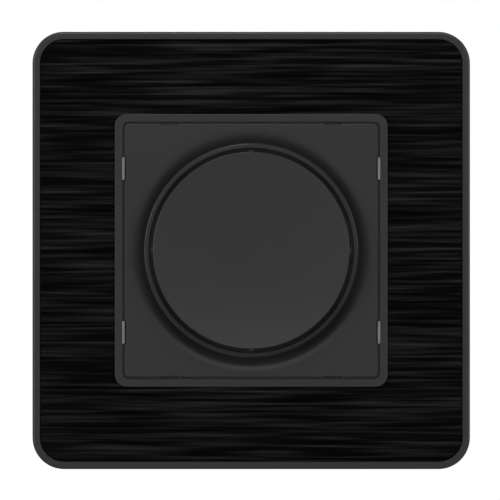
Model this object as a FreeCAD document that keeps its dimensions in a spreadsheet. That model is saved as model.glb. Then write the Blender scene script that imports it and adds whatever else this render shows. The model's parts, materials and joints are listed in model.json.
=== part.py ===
"""Rotary dimmer for one gang: frame with a metal inlay, push-and-turn knob, and the insert behind the wall plane.

The front looks along -Y, up is +Z, and the origin is on the knob's axis at the wall plane. Lengths are millimetres.
"""

import FreeCAD, Part
import math
import os
import re
import Sketcher

# Driving sizes, each with what it measures
SIZES = {
    "frame_side": (86.0, "outside width and height of the frame"),
    "frame_corner": (6.2, "corner radius of the frame"),
    "frame_rim": (1.44, "width of the rim that shows round the inlay"),
    "frame_wall": (2.0, "side wall of the frame"),
    "frame_depth": (9.0, "front of the frame before the wall"),
    "frame_floor": (1.6, "thickness of the face under the inlay"),
    "frame_round": (0.45, "rounding of the frame's outer front edge"),
    "rim_height": (0.2, "how far the rim stands before the inlay"),
    "window_reach": (3.3, "window's edge, out from the housing's side"),
    "window_corner": (1.2, "corner radius of the window"),
    "window_wall": (1.4, "wall of the collar behind the window"),
    "window_collar": (2.0, "height of the collar behind the window"),
    "frame_rib": (1.2, "thickness of the ribs behind the frame"),
    "frame_rib_height": (3.0, "height of the ribs behind the frame"),
    "frame_rib_place": (20.0, "ribs behind the frame, from the centre line"),
    "post_radius": (2.2, "radius of the posts behind the frame's corners"),
    "post_inset": (10.6, "posts behind the frame, in from its sides"),
    "inlay_thickness": (0.8, "thickness of the metal inlay"),
    "inlay_clearance": (0.1, "gap round the metal inlay"),
    "inlay_bevel": (0.12, "bevel on the inlay's front edges"),
    "bezel_lap": (0.5, "how far the bezel laps over the window's edge"),
    "bezel_corner": (2.35, "corner radius of the bezel"),
    "bezel_band": (1.53, "visible width of the bezel's band"),
    "bezel_flange": (0.9, "thickness of the bezel's flange before the inlay"),
    "bezel_round": (0.12, "rounding of the bezel's outer front edge"),
    "skirt_clearance": (0.25, "gap between the bezel's skirt and the window"),
    "skirt_stop": (4.6, "rear of the bezel's skirt before the wall"),
    "ledge_width": (1.7, "ledge inside the bezel that carries the cover"),
    "ledge_thickness": (0.8, "thickness of that ledge"),
    "leg_place": (8.0, "snap legs of the bezel, from the centre line"),
    "leg_width": (4.0, "width of a snap leg"),
    "leg_thickness": (1.2, "thickness of a snap leg"),
    "hook_reach": (0.8, "how far a hook stands out from its leg"),
    "hook_length": (1.3, "length of a hook along its leg"),
    "hook_play": (0.15, "play behind a hooked edge"),
    "cover_gap": (0.45, "gap between the bezel and the cover"),
    "cover_rise": (0.15, "how far the cover stands before the bezel"),
    "cover_corner": (0.75, "corner radius of the cover"),
    "cover_thickness": (1.6, "thickness of the cover's plate"),
    "cover_round": (0.1, "rounding of the cover's front edge"),
    "cover_skirt": (1.0, "wall of the cover's skirt"),
    "cover_step": (1.1, "depth of the step round the cover's edge"),
    "cover_play": (0.06, "play between the cover's skirt and the bezel"),
    "dish_margin": (0.82, "flat between the dished ring and the cover's edge"),
    "dish_width": (2.9, "width of the dished ring"),
    "dish_depth": (0.85, "depth of the dished ring"),
    "dish_backing": (0.9, "extra thickness behind the dish"),
    "dish_step": (0.05, "floor of the dish between its curve and the lip"),
    "lip_width": (0.85, "width of the lip round the knob"),
    "lip_round": (0.2, "rounding of the lip's outer edge"),
    "lip_depth": (0.5, "lip's face, behind the cover's face"),
    "collar_wall": (1.8, "wall of the guide collar behind the dish"),
    "floor_play": (0.2, "gap between the pushed-in knob and the floor behind it"),
    "floor_thickness": (1.0, "thickness of the floor behind the knob"),
    "floor_hole_gap": (0.7, "gap between the washer and the hole in the floor"),
    "latch_inset": (8.72, "latches and clips, in from the cover's edge"),
    "latch_width": (3.6, "width of a moulded latch arm"),
    "latch_thickness": (1.0, "thickness of a moulded latch arm"),
    "latch_gap": (0.2, "gap between a latch arm and the ledge"),
    "latch_reach": (0.6, "how far a latch hooks behind the ledge"),
    "latch_notch": (0.15, "depth of the notch that shows a latch"),
    "rib_spacing": (4.4, "distance between the two ribs beside a latch"),
    "rib_width": (0.4, "width of a rib in the gap"),
    "rib_drop": (0.05, "how far the ribs stand behind the cover's face"),
    "clip_width": (4.4, "width of a spring clip"),
    "clip_thickness": (0.5, "folded thickness of a spring clip"),
    "clip_strip": (0.2, "thickness of a clip's steel strip"),
    "clip_recess": (0.15, "recess for a clip in the bezel"),
    "clip_notch": (0.2, "notch for a clip in the cover's edge"),
    "clip_play": (0.05, "gap between a clip and its recess"),
    "knob_gap": (0.85, "gap round the knob"),
    "knob_height": (18.8, "front of the knob before the wall"),
    "knob_stop": (6.2, "rear of the knob's skirt before the wall"),
    "knob_wall": (1.4, "wall of the knob's skirt"),
    "knob_face": (1.8, "thickness of the knob's face at its edge"),
    "knob_draft": (0.1, "how much smaller the knob is at its front"),
    "knob_round": (0.12, "rounding of the knob's front edge"),
    "face_hollow": (0.8, "depth of the hollow in the knob's face"),
    "face_centre": (1.0, "radius of the flat middle of the knob's face"),
    "pip_width": (0.7, "width of a pip on the knob's side"),
    "pip_height": (0.25, "height of a pip on the knob's side"),
    "hub_radius": (5.4, "radius of the knob's hub"),
    "knob_rib": (1.2, "thickness of the ribs inside the knob"),
    "knob_rib_height": (5.0, "height of the ribs inside the knob"),
    "spring_ring": (0.55, "wire size of the ring round the hub"),
    "spindle_radius": (3.0, "radius of the spindle"),
    "spindle_height": (13.8, "front of the spindle before the wall"),
    "spindle_flat": (1.5, "depth of the flat on the spindle"),
    "running_fit": (0.05, "radial clearance of shafts and screws in their holes"),
    "rest_gap": (0.3, "clearance between pieces that don't touch"),
    "push_travel": (1.2, "how far the knob pushes in"),
    "bush_height": (5.4, "front of the threaded bush before the wall"),
    "bush_radius": (4.9, "radius of the threaded bush"),
    "bush_flange": (1.0, "thickness of the bush's flange"),
    "nut_width": (14.0, "width of the bush nut across its flats"),
    "nut_thickness": (2.4, "thickness of the bush nut"),
    "washer_radius": (8.3, "radius of the washer under the bush nut"),
    "washer_thickness": (0.4, "thickness of the washer under the bush nut"),
    "plate_edge": (2.5, "plate's edge beyond the screw slots"),
    "plate_corner": (5.0, "corner radius of the support plate"),
    "plate_thickness": (1.2, "thickness of the support plate"),
    "slot_spacing": (60.0, "distance between the two screw slots"),
    "slot_half_width": (1.9, "half the width of a screw slot"),
    "slot_length": (6.0, "length of a screw slot from end to end"),
    "gang_notch_width": (8.0, "width of the notches at the plate's sides"),
    "gang_notch_depth": (3.0, "depth of the notches at the plate's sides"),
    "panel_rise": (0.3, "how far the plate's middle is pressed forward"),
    "panel_border": (2.0, "flat border between the pressed panel and the notches"),
    "panel_gap": (0.6, "flat between the pressed panel and the screw slots"),
    "housing_side": (46.0, "outside width of the housing"),
    "housing_chamfer": (8.0, "cut corners of the housing"),
    "housing_wall": (1.6, "wall of the housing"),
    "lid_thickness": (2.3, "thickness of the housing's lid"),
    "fixing_inset": (6.5, "housing screws, in from the housing's sides"),
    "fixing_radius": (1.2, "radius of a housing screw's shank"),
    "fixing_head": (2.2, "radius of a housing screw's head"),
    "fixing_head_height": (1.5, "height of a housing screw's head"),
    "fixing_length": (11.2, "length of a housing screw's shank"),
    "pilot_room": (1.8, "depth of a pilot hole beyond its screw"),
    "fixing_boss": (3.0, "radius of a boss for a housing screw"),
    "pot_radius": (8.5, "radius of the potentiometer"),
    "pot_depth": (6.4, "depth of the potentiometer's case"),
    "pot_wall": (0.9, "side wall of the potentiometer's case"),
    "pot_floor": (0.8, "floor of the potentiometer's case"),
    "track_thickness": (0.8, "thickness of the resistance track"),
    "wiper_thickness": (1.0, "thickness of the wiper"),
    "wiper_reach": (6.4, "radius that the wiper's contact reaches"),
    "wiper_hub": (2.8, "radius of the wiper's hub"),
    "drive_side": (3.0, "side of the square end of the spindle"),
    "pivot_radius": (0.9, "radius of the pivot at the spindle's end"),
    "pivot_length": (0.8, "length of the pivot at the spindle's end"),
    "switch_depth": (7.0, "depth of the switch behind the potentiometer"),
    "switch_width": (17.0, "width of the switch"),
    "switch_height": (13.0, "height of the switch"),
    "switch_wall": (0.8, "wall of the switch"),
    "plunger_radius": (2.0, "radius of the switch's plunger"),
    "plunger_flange": (4.2, "radius of the plunger's flange"),
    "plunger_flange_thickness": (0.6, "thickness of the plunger's flange"),
    "bridge_length": (11.0, "length of the switch's bridge"),
    "bridge_width": (2.0, "width of the switch's bridge"),
    "bridge_thickness": (0.3, "thickness of the switch's bridge"),
    "contact_place": (4.7, "fixed contacts, from the centre line"),
    "contact_radius": (0.8, "radius of a fixed contact"),
    "coil_wire": (0.2, "wire radius of the return spring"),
    "board_thickness": (1.6, "thickness of the circuit board"),
    "board_side_play": (0.8, "gap between the circuit board and the claws' recesses"),
    "board_top_play": (0.6, "gap above the circuit board"),
    "board_foot_play": (0.4, "gap between the circuit board and the terminal block"),
    "pillar_radius": (2.0, "radius of the pillars behind the board"),
    "pillar_inset": (5.2, "pillars behind the board, in from its sides"),
    "choke_radius": (4.4, "radius of the choke's end discs"),
    "choke_length": (13.0, "length of the choke"),
    "choke_rod": (2.0, "radius of the choke's rod"),
    "choke_disc": (1.2, "thickness of the choke's end discs"),
    "choke_inset": (5.5, "choke's axis, below the board's top edge"),
    "film_width": (7.2, "width of the suppression capacitor"),
    "film_height": (15.4, "height of the suppression capacitor"),
    "film_depth": (12.0, "depth of the suppression capacitor"),
    "film_round": (0.6, "rounding of the suppression capacitor's edges"),
    "timer_width": (5.6, "width of the timing capacitor"),
    "timer_height": (3.4, "height of the timing capacitor"),
    "timer_depth": (7.0, "depth of the timing capacitor"),
    "timer_gap": (1.8, "gap between the timing capacitor and the choke"),
    "sink_thickness": (1.4, "thickness of the heat sink"),
    "sink_height": (13.0, "height of the heat sink"),
    "sink_foot": (7.4, "length of the heat sink's foot"),
    "triac_thickness": (3.2, "thickness of the power transistor"),
    "triac_width": (8.0, "width of the power transistor"),
    "triac_length": (11.0, "length of the power transistor's case"),
    "triac_hole": (7.3, "power transistor's screw, from its leads' end"),
    "lead_length": (1.0, "power transistor's leads before the board"),
    "lead_pitch": (2.3, "distance between the power transistor's leads"),
    "clamp_screw": (1.5, "radius of a clamping screw's thread"),
    "clamp_head": (2.3, "radius of a terminal screw's head"),
    "clamp_head_height": (1.6, "height of a terminal screw's head"),
    "fuse_radius": (2.6, "radius of the fuse"),
    "fuse_length": (20.0, "length of the fuse"),
    "fuse_inset": (6.8, "fuse's axis, below the board's top edge"),
    "fuse_room": (0.35, "gap between the fuse and the housing's floor"),
    "fuse_strip": (0.4, "thickness of a fuse clip's strip"),
    "fuse_clip_width": (4.0, "width of a fuse clip"),
    "fuse_clip_inset": (2.8, "middle of a fuse clip, in from the fuse's end"),
    "fuse_clip_rise": (2.1, "how far a fuse clip reaches behind the fuse's axis"),
    "resistor_radius": (1.1, "radius of a resistor"),
    "resistor_length": (6.0, "length of a resistor"),
    "resistor_pitch": (3.0, "distance between two resistors"),
    "terminal_pitch": (8.0, "distance between two terminals"),
    "entry_wall": (3.9, "wall that the wire entries go through"),
    "block_wall": (2.3, "wall above the terminals' cells"),
    "cage_width": (6.0, "width of a terminal cage"),
    "cage_height": (6.0, "height of a terminal cage"),
    "cage_depth": (7.1, "depth of a terminal cage"),
    "cage_wall": (0.8, "side wall of a terminal cage"),
    "cage_base": (1.0, "wall of a cage that presses on the wire"),
    "cage_nut": (1.4, "threaded wall of a cage"),
    "cage_travel": (2.6, "how far a cage rises"),
    "bar_width": (3.6, "width of a current bar"),
    "bar_thickness": (0.7, "thickness of a current bar"),
    "wire_space": (3.2, "open space for the wire in a cage"),
    "entry_radius": (1.5, "radius of a wire entry"),
    "web_thickness": (0.8, "web under a terminal screw's head"),
    "well_play": (0.3, "gap round a terminal screw's head"),
    "claw_screw_gap": (2.8, "claw screws, out from the housing's sides"),
    "claw_head": (2.4, "radius of a claw screw's head"),
    "claw_head_height": (2.0, "height of a claw screw's head"),
    "claw_screw_end": (23.0, "end of a claw screw behind the wall plane"),
    "claw_rest": (18.0, "claw's tab behind the wall plane, at rest"),
    "claw_thickness": (1.2, "thickness of a claw's sheet"),
    "claw_width": (10.0, "width of a claw"),
    "claw_wing": (6.8, "length of a claw's wing"),
    "claw_toe": (0.7, "how far a claw's toe stands out"),
    "claw_spread": (3.0, "how far a claw moves outwards"),
    "claw_draw": (9.5, "how far a claw moves towards the plate"),
    "claw_nut_side": (5.2, "side of a claw's square nut"),
    "claw_nut_thickness": (2.4, "thickness of a claw's square nut"),
    "claw_recess": (11.2, "width of the housing's recess for a claw"),
    "ramp_lip": (0.1, "ramp's outer end, in from the housing's side"),
    "ramp_depth": (3.3, "depth of a claw's ramp"),
    "screw_slot": (0.8, "width of the slot in a screw's head"),
}

# Places and sizes that follow from the driving ones
DERIVED = {
    "frame_half": "frame_side / 2",
    "post_place": "frame_half - post_inset",
    "frame_face": "-frame_depth",
    "inlay_face": "frame_face + rim_height",
    "recess_floor": "inlay_face + inlay_thickness",
    "frame_back": "recess_floor + frame_floor",
    "recess_half": "frame_half - frame_rim",
    "window_half": "housing_half + window_reach",
    "bezel_face": "inlay_face - bezel_flange",
    "bezel_half": "window_half + bezel_lap",
    "bezel_inner": "bezel_half - bezel_band",
    "skirt_outer": "window_half - skirt_clearance",
    "skirt_back": "-skirt_stop",
    "ledge_front": "skirt_back - ledge_thickness",
    "ledge_inner": "bezel_inner - ledge_width",
    "cover_face": "bezel_face - cover_rise",
    "cover_half": "bezel_inner - cover_gap",
    "cover_under": "cover_face + cover_thickness",
    "cover_back": "ledge_front - clip_play",
    "latch_place": "cover_half - latch_inset",
    "dish_outer": "cover_half - dish_margin",
    "dish_inner": "dish_outer - dish_width",
    "dish_curve": "(dish_width^2 + dish_depth^2) / (2 * dish_depth)",
    "lip_outer": "dish_inner - dish_step",
    "hole_radius": "lip_outer - lip_width",
    "knob_radius": "hole_radius - knob_gap",
    "knob_front": "-knob_height",
    "knob_back": "-knob_stop",
    "floor_front": "knob_back + push_travel + floor_play",
    "floor_back": "floor_front + floor_thickness",
    "floor_hole": "washer_radius + floor_hole_gap",
    "skirt_half": "bezel_inner - cover_play",
    "face_back": "knob_front + knob_face",
    "bush_front": "-bush_height",
    "hub_back": "bush_front - push_travel - rest_gap",
    "spindle_front": "-spindle_height",
    "shaft_hole": "spindle_radius + running_fit",
    "plate_half": "slot_spacing / 2 + slot_length / 2 + plate_edge",
    "plate_front": "-plate_thickness",
    "panel_back": "-panel_rise",
    "panel_front": "panel_back - plate_thickness",
    "panel_half_width": "plate_half - gang_notch_depth - panel_border",
    "panel_half_height": "slot_spacing / 2 - slot_length / 2 - panel_gap",
    "hook_front": "panel_back + hook_play",
    "lid_back": "panel_back + lid_thickness",
    "fixing_place": "housing_half - fixing_inset",
    "fixing_end": "panel_front + fixing_length",
    "housing_half": "housing_side / 2",
    "inner_half": "housing_half - housing_wall",
    "housing_floor": "fuse_axis + fuse_radius + fuse_room",
    "housing_depth": "housing_floor + housing_wall",
    "flange_back": "lid_back + bush_flange",
    "pot_back": "flange_back + pot_depth",
    "track_front": "pot_back - pot_floor - track_thickness",
    "wiper_back": "track_front - rest_gap",
    "wiper_front": "wiper_back - wiper_thickness",
    "shoulder_back": "wiper_front - push_travel - rest_gap",
    "switch_back": "pot_back + switch_depth",
    "switch_inside": "pot_back + switch_wall",
    "drive_back": "switch_inside + rest_gap",
    "drive_hole": "drive_side / sqrt(2) + rest_gap",
    "plunger_front": "drive_back + running_fit",
    "flange_front": "drive_back + pivot_length + rest_gap",
    "flange_rear": "flange_front + plunger_flange_thickness",
    "bridge_rear": "flange_rear + bridge_thickness",
    "coil_front": "bridge_rear + push_travel + rest_gap / 2",
    "coil_back": "switch_back - switch_wall - running_fit",
    "plunger_end": "switch_back - switch_wall - push_travel - rest_gap / 2",
    "board_front": "switch_back",
    "board_back": "board_front + board_thickness",
    "block_top": "terminal_height - cell_half_height - block_wall",
    "block_low": "-block_top",
    "terminal_height": "housing_half - entry_wall - cell_half_height",
    "claw_screw_place": "housing_half + claw_screw_gap",
    "ramp_top": "housing_half - ramp_lip",
    "ramp_foot": "ramp_top - ramp_depth",
    "board_half": "ramp_foot - housing_wall - board_side_play",
    "board_top": "inner_half - board_top_play",
    "board_bottom": "block_top - board_foot_play",
    "pillar_place": "board_half - pillar_inset",
    "choke_height": "board_top - choke_inset",
    "fuse_height": "board_top - fuse_inset",
    "claw_slope": "claw_spread / claw_draw",
    "tab_back": "claw_rest + claw_thickness",
    "ramp_start": "claw_rest + claw_thickness / 2 - claw_draw",
    "ramp_end": "ramp_start + (ramp_top - ramp_foot) / claw_slope",
    "tab_inner": "ramp_top - (claw_rest - ramp_start) * claw_slope + rest_gap",
    "slot_end": "claw_screw_place + clamp_screw + rest_gap",
    "wing_outer": "slot_end + claw_thickness",
    "toe_front": "claw_rest - claw_wing - claw_toe",
    "bar_back": "board_front",
    "bar_front": "bar_back - bar_thickness",
    "cage_front": "bar_front - wire_space - cage_base",
    "cage_back": "cage_front + cage_depth",
    "tip": "bar_back + running_fit * 2",
    "web_front": "cage_back + cage_travel + rest_gap",
    "web_back": "web_front + web_thickness",
    "head_front": "web_back + running_fit",
    "cell_half_width": "cage_width / 2 + rest_gap",
    "cell_half_height": "cage_height / 2 + rest_gap",
    "sink_outer": "inner_half - claw_recess_depth - rest_gap",
    "claw_recess_depth": "housing_half - ramp_foot",
    "sink_inner": "sink_outer - sink_thickness",
    "sink_low": "sink_outer - sink_foot",
    "triac_inner": "sink_inner - triac_thickness",
    "pillar_upper": "choke_height / 2",
    "pillar_lower": "board_bottom - pillar_radius * 2",
    "film_outer": "inner_half - claw_recess_depth - rest_gap",
    "film_bottom": "board_bottom - pillar_radius / 2",
    "fuse_axis": "board_back + fuse_strip + running_fit + fuse_radius",
}

WORD = re.compile(r"[a-z][a-z_]*")
SIDES = {"left": -1, "right": 1}
RING_ANGLE = 300
SPRING_TURNS = 2

DOC = FreeCAD.newDocument("RotaryDimmer")
PIECES = []


def fill_sheet():
    """Write every driving size into the sheet, with its name beside it."""
    sheet = DOC.addObject("Spreadsheet::Sheet", "Sizes")
    for row, (name, (size, meaning)) in enumerate(SIZES.items(), start=1):
        sheet.set(f"A{row}", meaning)
        sheet.set(f"B{row}", str(size))
        sheet.setAlias(f"B{row}", name)
    DOC.recompute()
    return sheet


SHEET = fill_sheet()


def formula(text):
    """Turn a formula in plain names into one that refers to the sheet."""
    def reference(match):
        name = match.group()
        if name in DERIVED:
            return "(" + formula(DERIVED[name]) + ")"
        if name in SIZES:
            return "Sizes." + name
        return name
    return WORD.sub(reference, str(text))


def value(text):
    """Work a formula out as a number."""
    return float(SHEET.evalExpression(formula(text)))


def bind(target, path, text):
    """Tie one property of an object to a formula, or set it where the formula is a plain number."""
    target.setExpression(path, formula(text))


class Drawing:
    """A sketch on one of its body's origin planes, with every dimension tied to the sheet."""

    def __init__(self, piece, role, offset):
        body = piece.body
        self.sketch = body.newObject("Sketcher::SketchObject", piece.next_name("sketch"))
        plane = [item for item in body.Origin.OriginFeatures if item.Role == role][0]
        self.sketch.AttachmentSupport = (plane, [""])
        self.sketch.MapMode = "FlatFace"
        bind(self.sketch, "AttachmentOffset.Base.z", offset)

    def dimension(self, kind, geometry, point, text):
        """Place a point from the origin, or set a radius."""
        if kind == "Radius":
            item = Sketcher.Constraint(kind, geometry, value(text))
        else:
            item = Sketcher.Constraint(kind, -1, 1, geometry, point, value(text))
        index = self.sketch.addConstraint(item)
        bind(self.sketch, f"Constraints[{index}]", text)

    def circle(self, across, up, radius):
        """Add a circle."""
        centre = FreeCAD.Vector(value(across), value(up), 0)
        shape = Part.Circle(centre, FreeCAD.Vector(0, 0, 1), value(radius))
        index = self.sketch.addGeometry(shape)
        self.dimension("DistanceX", index, 3, across)
        self.dimension("DistanceY", index, 3, up)
        self.dimension("Radius", index, 0, radius)
        return self

    def outline(self, *corners):
        """Add a closed outline. A corner is (across, up), or (across, up, radius, turn) where an arc leads to it.

        turn is 1 where the arc runs anticlockwise and -1 where it runs clockwise.
        """
        places = [FreeCAD.Vector(value(corner[0]), value(corner[1]), 0) for corner in corners]
        edges = []
        for number, corner in enumerate(corners):
            start = places[number - 1]
            end = places[number]
            if len(corner) == 2:
                index = self.sketch.addGeometry(Part.LineSegment(start, end))
                edges.append((index, 1, 2))
                continue
            radius = value(corner[2])
            chord = end - start
            side = FreeCAD.Vector(-chord.y, chord.x, 0).normalize() * corner[3]
            rise = math.sqrt(max(radius ** 2 - chord.Length ** 2 / 4, 0))
            centre = (start + end) * 0.5 + side * rise
            angles = [math.atan2(place.y - centre.y, place.x - centre.x) for place in (start, end)]
            if corner[3] < 0:
                angles.reverse()
            if angles[1] < angles[0]:
                angles[1] += 2 * math.pi
            circle = Part.Circle(centre, FreeCAD.Vector(0, 0, 1), radius)
            index = self.sketch.addGeometry(Part.ArcOfCircle(circle, *angles))
            edges.append((index, 1, 2) if corner[3] > 0 else (index, 2, 1))
            self.dimension("Radius", index, 0, corner[2])
        for number, corner in enumerate(corners):
            index, _, end = edges[number]
            following = edges[(number + 1) % len(edges)]
            self.sketch.addConstraint(Sketcher.Constraint("Coincident", index, end, following[0], following[1]))
            self.dimension("DistanceX", index, end, corner[0])
            self.dimension("DistanceY", index, end, corner[1])
        return self

    def box(self, left, right, low, high):
        """Add a rectangle."""
        return self.outline((left, low), (right, low), (right, high), (left, high))

    def square(self, half, radius):
        """Add a square round the origin with rounded corners."""
        return self.panel(half, half, radius)

    def panel(self, half_width, half_height, radius):
        """Add a rectangle round the origin with rounded corners."""
        across = f"({half_width}) - ({radius})"
        up = f"({half_height}) - ({radius})"
        return self.outline(
            (across, f"-({half_height})"), (half_width, f"-({up})", radius, 1),
            (half_width, up), (across, half_height, radius, 1),
            (f"-({across})", half_height), (f"-({half_width})", up, radius, 1),
            (f"-({half_width})", f"-({up})"), (f"-({across})", f"-({half_height})", radius, 1))

    def slot(self, across, low, high, radius):
        """Add an upright slot, given by the centres of its round ends."""
        left = f"({across}) - ({radius})"
        right = f"({across}) + ({radius})"
        top = f"({high}) + ({radius})"
        bottom = f"({low}) - ({radius})"
        return self.outline(
            (right, high), (across, top, radius, 1), (left, high, radius, 1),
            (left, low), (across, bottom, radius, 1), (right, low, radius, 1))


class Piece:
    """One sub-part: a body built from features in order."""

    def __init__(self, name):
        self.body = DOC.addObject("PartDesign::Body", name)
        self.body.Label = name
        self.name = name
        self.count = 0
        PIECES.append(self.body)

    def next_name(self, kind):
        """Give the next feature of this body a name."""
        self.count += 1
        return f"{self.name}_{kind}_{self.count}"

    def front(self, depth):
        """Start a sketch across the front, at a depth along Y."""
        return Drawing(self, "XZ_Plane", f"-({depth})")

    def plan(self, height="0"):
        """Start a sketch seen from above, at a height."""
        return Drawing(self, "XY_Plane", height)

    def side(self, place="0"):
        """Start a sketch seen from the right, at a distance along X."""
        return Drawing(self, "YZ_Plane", place)

    def feature(self, kind, drawing, length=None, reverse=False, middle=False):
        """Add a pad or a pocket from a sketch."""
        item = self.body.newObject(f"PartDesign::{kind}", self.next_name(kind.lower()))
        item.Profile = drawing.sketch
        bind(item, "Length", length)
        item.Reversed = reverse
        item.Midplane = middle
        drawing.sketch.Visibility = False
        return self

    def pad(self, drawing, length, reverse=False, middle=False):
        """Add material, towards the wall for a front sketch."""
        if drawing.sketch.AttachmentSupport[0][0].Role == "XZ_Plane" and not middle:
            reverse = not reverse
        return self.feature("Pad", drawing, length, reverse, middle)

    def pocket(self, drawing, length, reverse=False, middle=False):
        """Take material away, towards the wall for a front sketch."""
        return self.feature("Pocket", drawing, length, reverse, middle)

    def turn(self, drawing, cut=False, angle=360):
        """Turn a plan sketch about the knob's axis."""
        kind = "Groove" if cut else "Revolution"
        item = self.body.newObject(f"PartDesign::{kind}", self.next_name(kind.lower()))
        item.Profile = drawing.sketch
        item.ReferenceAxis = (drawing.sketch, ["V_Axis"])
        item.Angle = angle
        return self

    def edges(self, test):
        """List the edges of the body so far that pass a test."""
        DOC.recompute()
        found = []
        for number, edge in enumerate(self.body.Shape.Edges, start=1):
            if test(edge):
                found.append(f"Edge{number}")
        return found

    def soften(self, kind, test, size):
        """Round or bevel the edges that pass a test."""
        names = self.edges(test)
        shaped = self.body.Tip
        item = self.body.newObject(f"PartDesign::{kind}", self.next_name(kind.lower()))
        item.Base = (shaped, names)
        bind(item, "Radius" if kind == "Fillet" else "Size", size)
        return self


def on_outline(depth, half):
    """Make a test for edges at a depth whose ends lie on a square outline of a given half width."""
    level = value(depth)
    reach = value(half)

    def test(edge):
        ends = [vertex.Point for vertex in edge.Vertexes]
        return all(abs(end.y - level) < 0.001 and max(abs(end.x), abs(end.z)) > reach - 0.001 for end in ends)
    return test


def runs_along_depth(edge):
    """Tell whether an edge runs straight along Y."""
    return edge.BoundBox.YLength > edge.BoundBox.XLength + edge.BoundBox.ZLength


def signed(sign, text):
    """Put a sign before a formula."""
    return f"{sign} * ({text})"


def span(sign, low, high):
    """Give the two ends of a stretch on one side of a centre line, lowest first."""
    ends = (signed(sign, low), signed(sign, high))
    return ends if sign > 0 else (ends[1], ends[0])


def around(middle, half):
    """Give the two ends of a stretch round its middle."""
    return f"({middle}) - ({half})", f"({middle}) + ({half})"


def make_outer_frame():
    """Frame: recess for the inlay, window with a collar, ribs and posts behind."""
    piece = Piece("outer_frame")
    piece.pad(piece.front("frame_face").square("frame_half", "frame_corner"), "frame_depth")
    recess = piece.front("frame_face").square("recess_half", "frame_corner - frame_rim")
    piece.pocket(recess, "rim_height + inlay_thickness")
    hollow = piece.front("frame_back").square("frame_half - frame_wall", "frame_corner - frame_wall")
    hollow.square("window_half + window_wall", "window_corner + window_wall")
    piece.pocket(hollow, "-frame_back")
    collar = piece.front("frame_back + window_collar")
    piece.pocket(collar.square("window_half + window_wall + rest_gap", "window_corner + window_wall"), "-frame_back")
    piece.pocket(piece.front("frame_face").square("window_half", "window_corner"), "frame_depth")
    ribs = piece.front("frame_back")
    for sign in (-1, 1):
        for place in (-1, 1):
            across = around(signed(place, "frame_rib_place"), "frame_rib / 2")
            up = span(sign, "window_half + window_wall / 2", "frame_half - frame_wall / 2")
            ribs.box(*across, *up)
            ribs.box(*up, *across)
    piece.pad(ribs, "frame_rib_height")
    posts = piece.front("frame_back")
    for sign in (-1, 1):
        for place in (-1, 1):
            posts.circle(signed(sign, "post_place"), signed(place, "post_place"), "post_radius")
    piece.pad(posts, "plate_front - rest_gap - frame_back")
    piece.soften("Fillet", on_outline("frame_face", "frame_half"), "frame_round")


def make_brushed_inlay():
    """Metal inlay that lies in the frame's recess."""
    piece = Piece("brushed_inlay")
    sheet = piece.front("inlay_face").square(
        "recess_half - inlay_clearance", "frame_corner - frame_rim - inlay_clearance")
    sheet.square("window_half", "window_corner")
    piece.pad(sheet, "inlay_thickness")
    piece.soften("Chamfer", on_outline("inlay_face", "recess_half - inlay_clearance"), "inlay_bevel")


def make_bezel():
    """Bezel: flange before the inlay, skirt through the window, ledge, feet and snap legs."""
    piece = Piece("bezel")
    flange = piece.front("bezel_face").square("bezel_half", "bezel_corner")
    flange.square("bezel_inner", "cover_corner + cover_gap")
    piece.pad(flange, "bezel_flange")
    skirt = piece.front("inlay_face").square("skirt_outer", "window_corner")
    piece.pad(skirt.square("bezel_inner", "cover_corner + cover_gap"), "skirt_back - inlay_face")
    ledge = piece.front("ledge_front").square("(bezel_inner + skirt_outer) / 2", "cover_corner + cover_gap")
    piece.pad(ledge.square("ledge_inner", "cover_corner"), "ledge_thickness")
    feet = piece.front("ledge_front")
    for sign in (-1, 1):
        for place in (-1, 1):
            feet.box(*span(sign, "ledge_inner", "skirt_outer - window_corner / 2"),
                     *span(place, "ledge_inner", "skirt_outer - window_corner / 2"))
    piece.pad(feet, "panel_front - ledge_front")
    for sign in (-1, 1):
        legs = piece.side(signed(sign, "leg_place"))
        for place in (-1, 1):
            legs.outline(
                ("ledge_front", signed(place, "skirt_outer - leg_thickness")),
                ("hook_front + hook_length", signed(place, "skirt_outer - leg_thickness")),
                ("hook_front + hook_length", signed(place, "skirt_outer + hook_reach / 4")),
                ("hook_front + hook_length / 3", signed(place, "skirt_outer + hook_reach")),
                ("hook_front", signed(place, "skirt_outer + hook_reach")),
                ("hook_front", signed(place, "skirt_outer")),
                ("ledge_front", signed(place, "skirt_outer")))
        piece.pad(legs, "leg_width", middle=True)
    recesses = piece.front("bezel_face")
    for sign in (-1, 1):
        for place in (-1, 1):
            recesses.box(*span(sign, "bezel_inner - cover_gap / 2", "bezel_inner + clip_recess"),
                         *around(signed(place, "latch_place"), "clip_width / 2 + clip_play"))
    piece.pocket(recesses, "ledge_front - bezel_face")
    piece.soften("Fillet", on_outline("bezel_face", "bezel_half"), "bezel_round")


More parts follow.
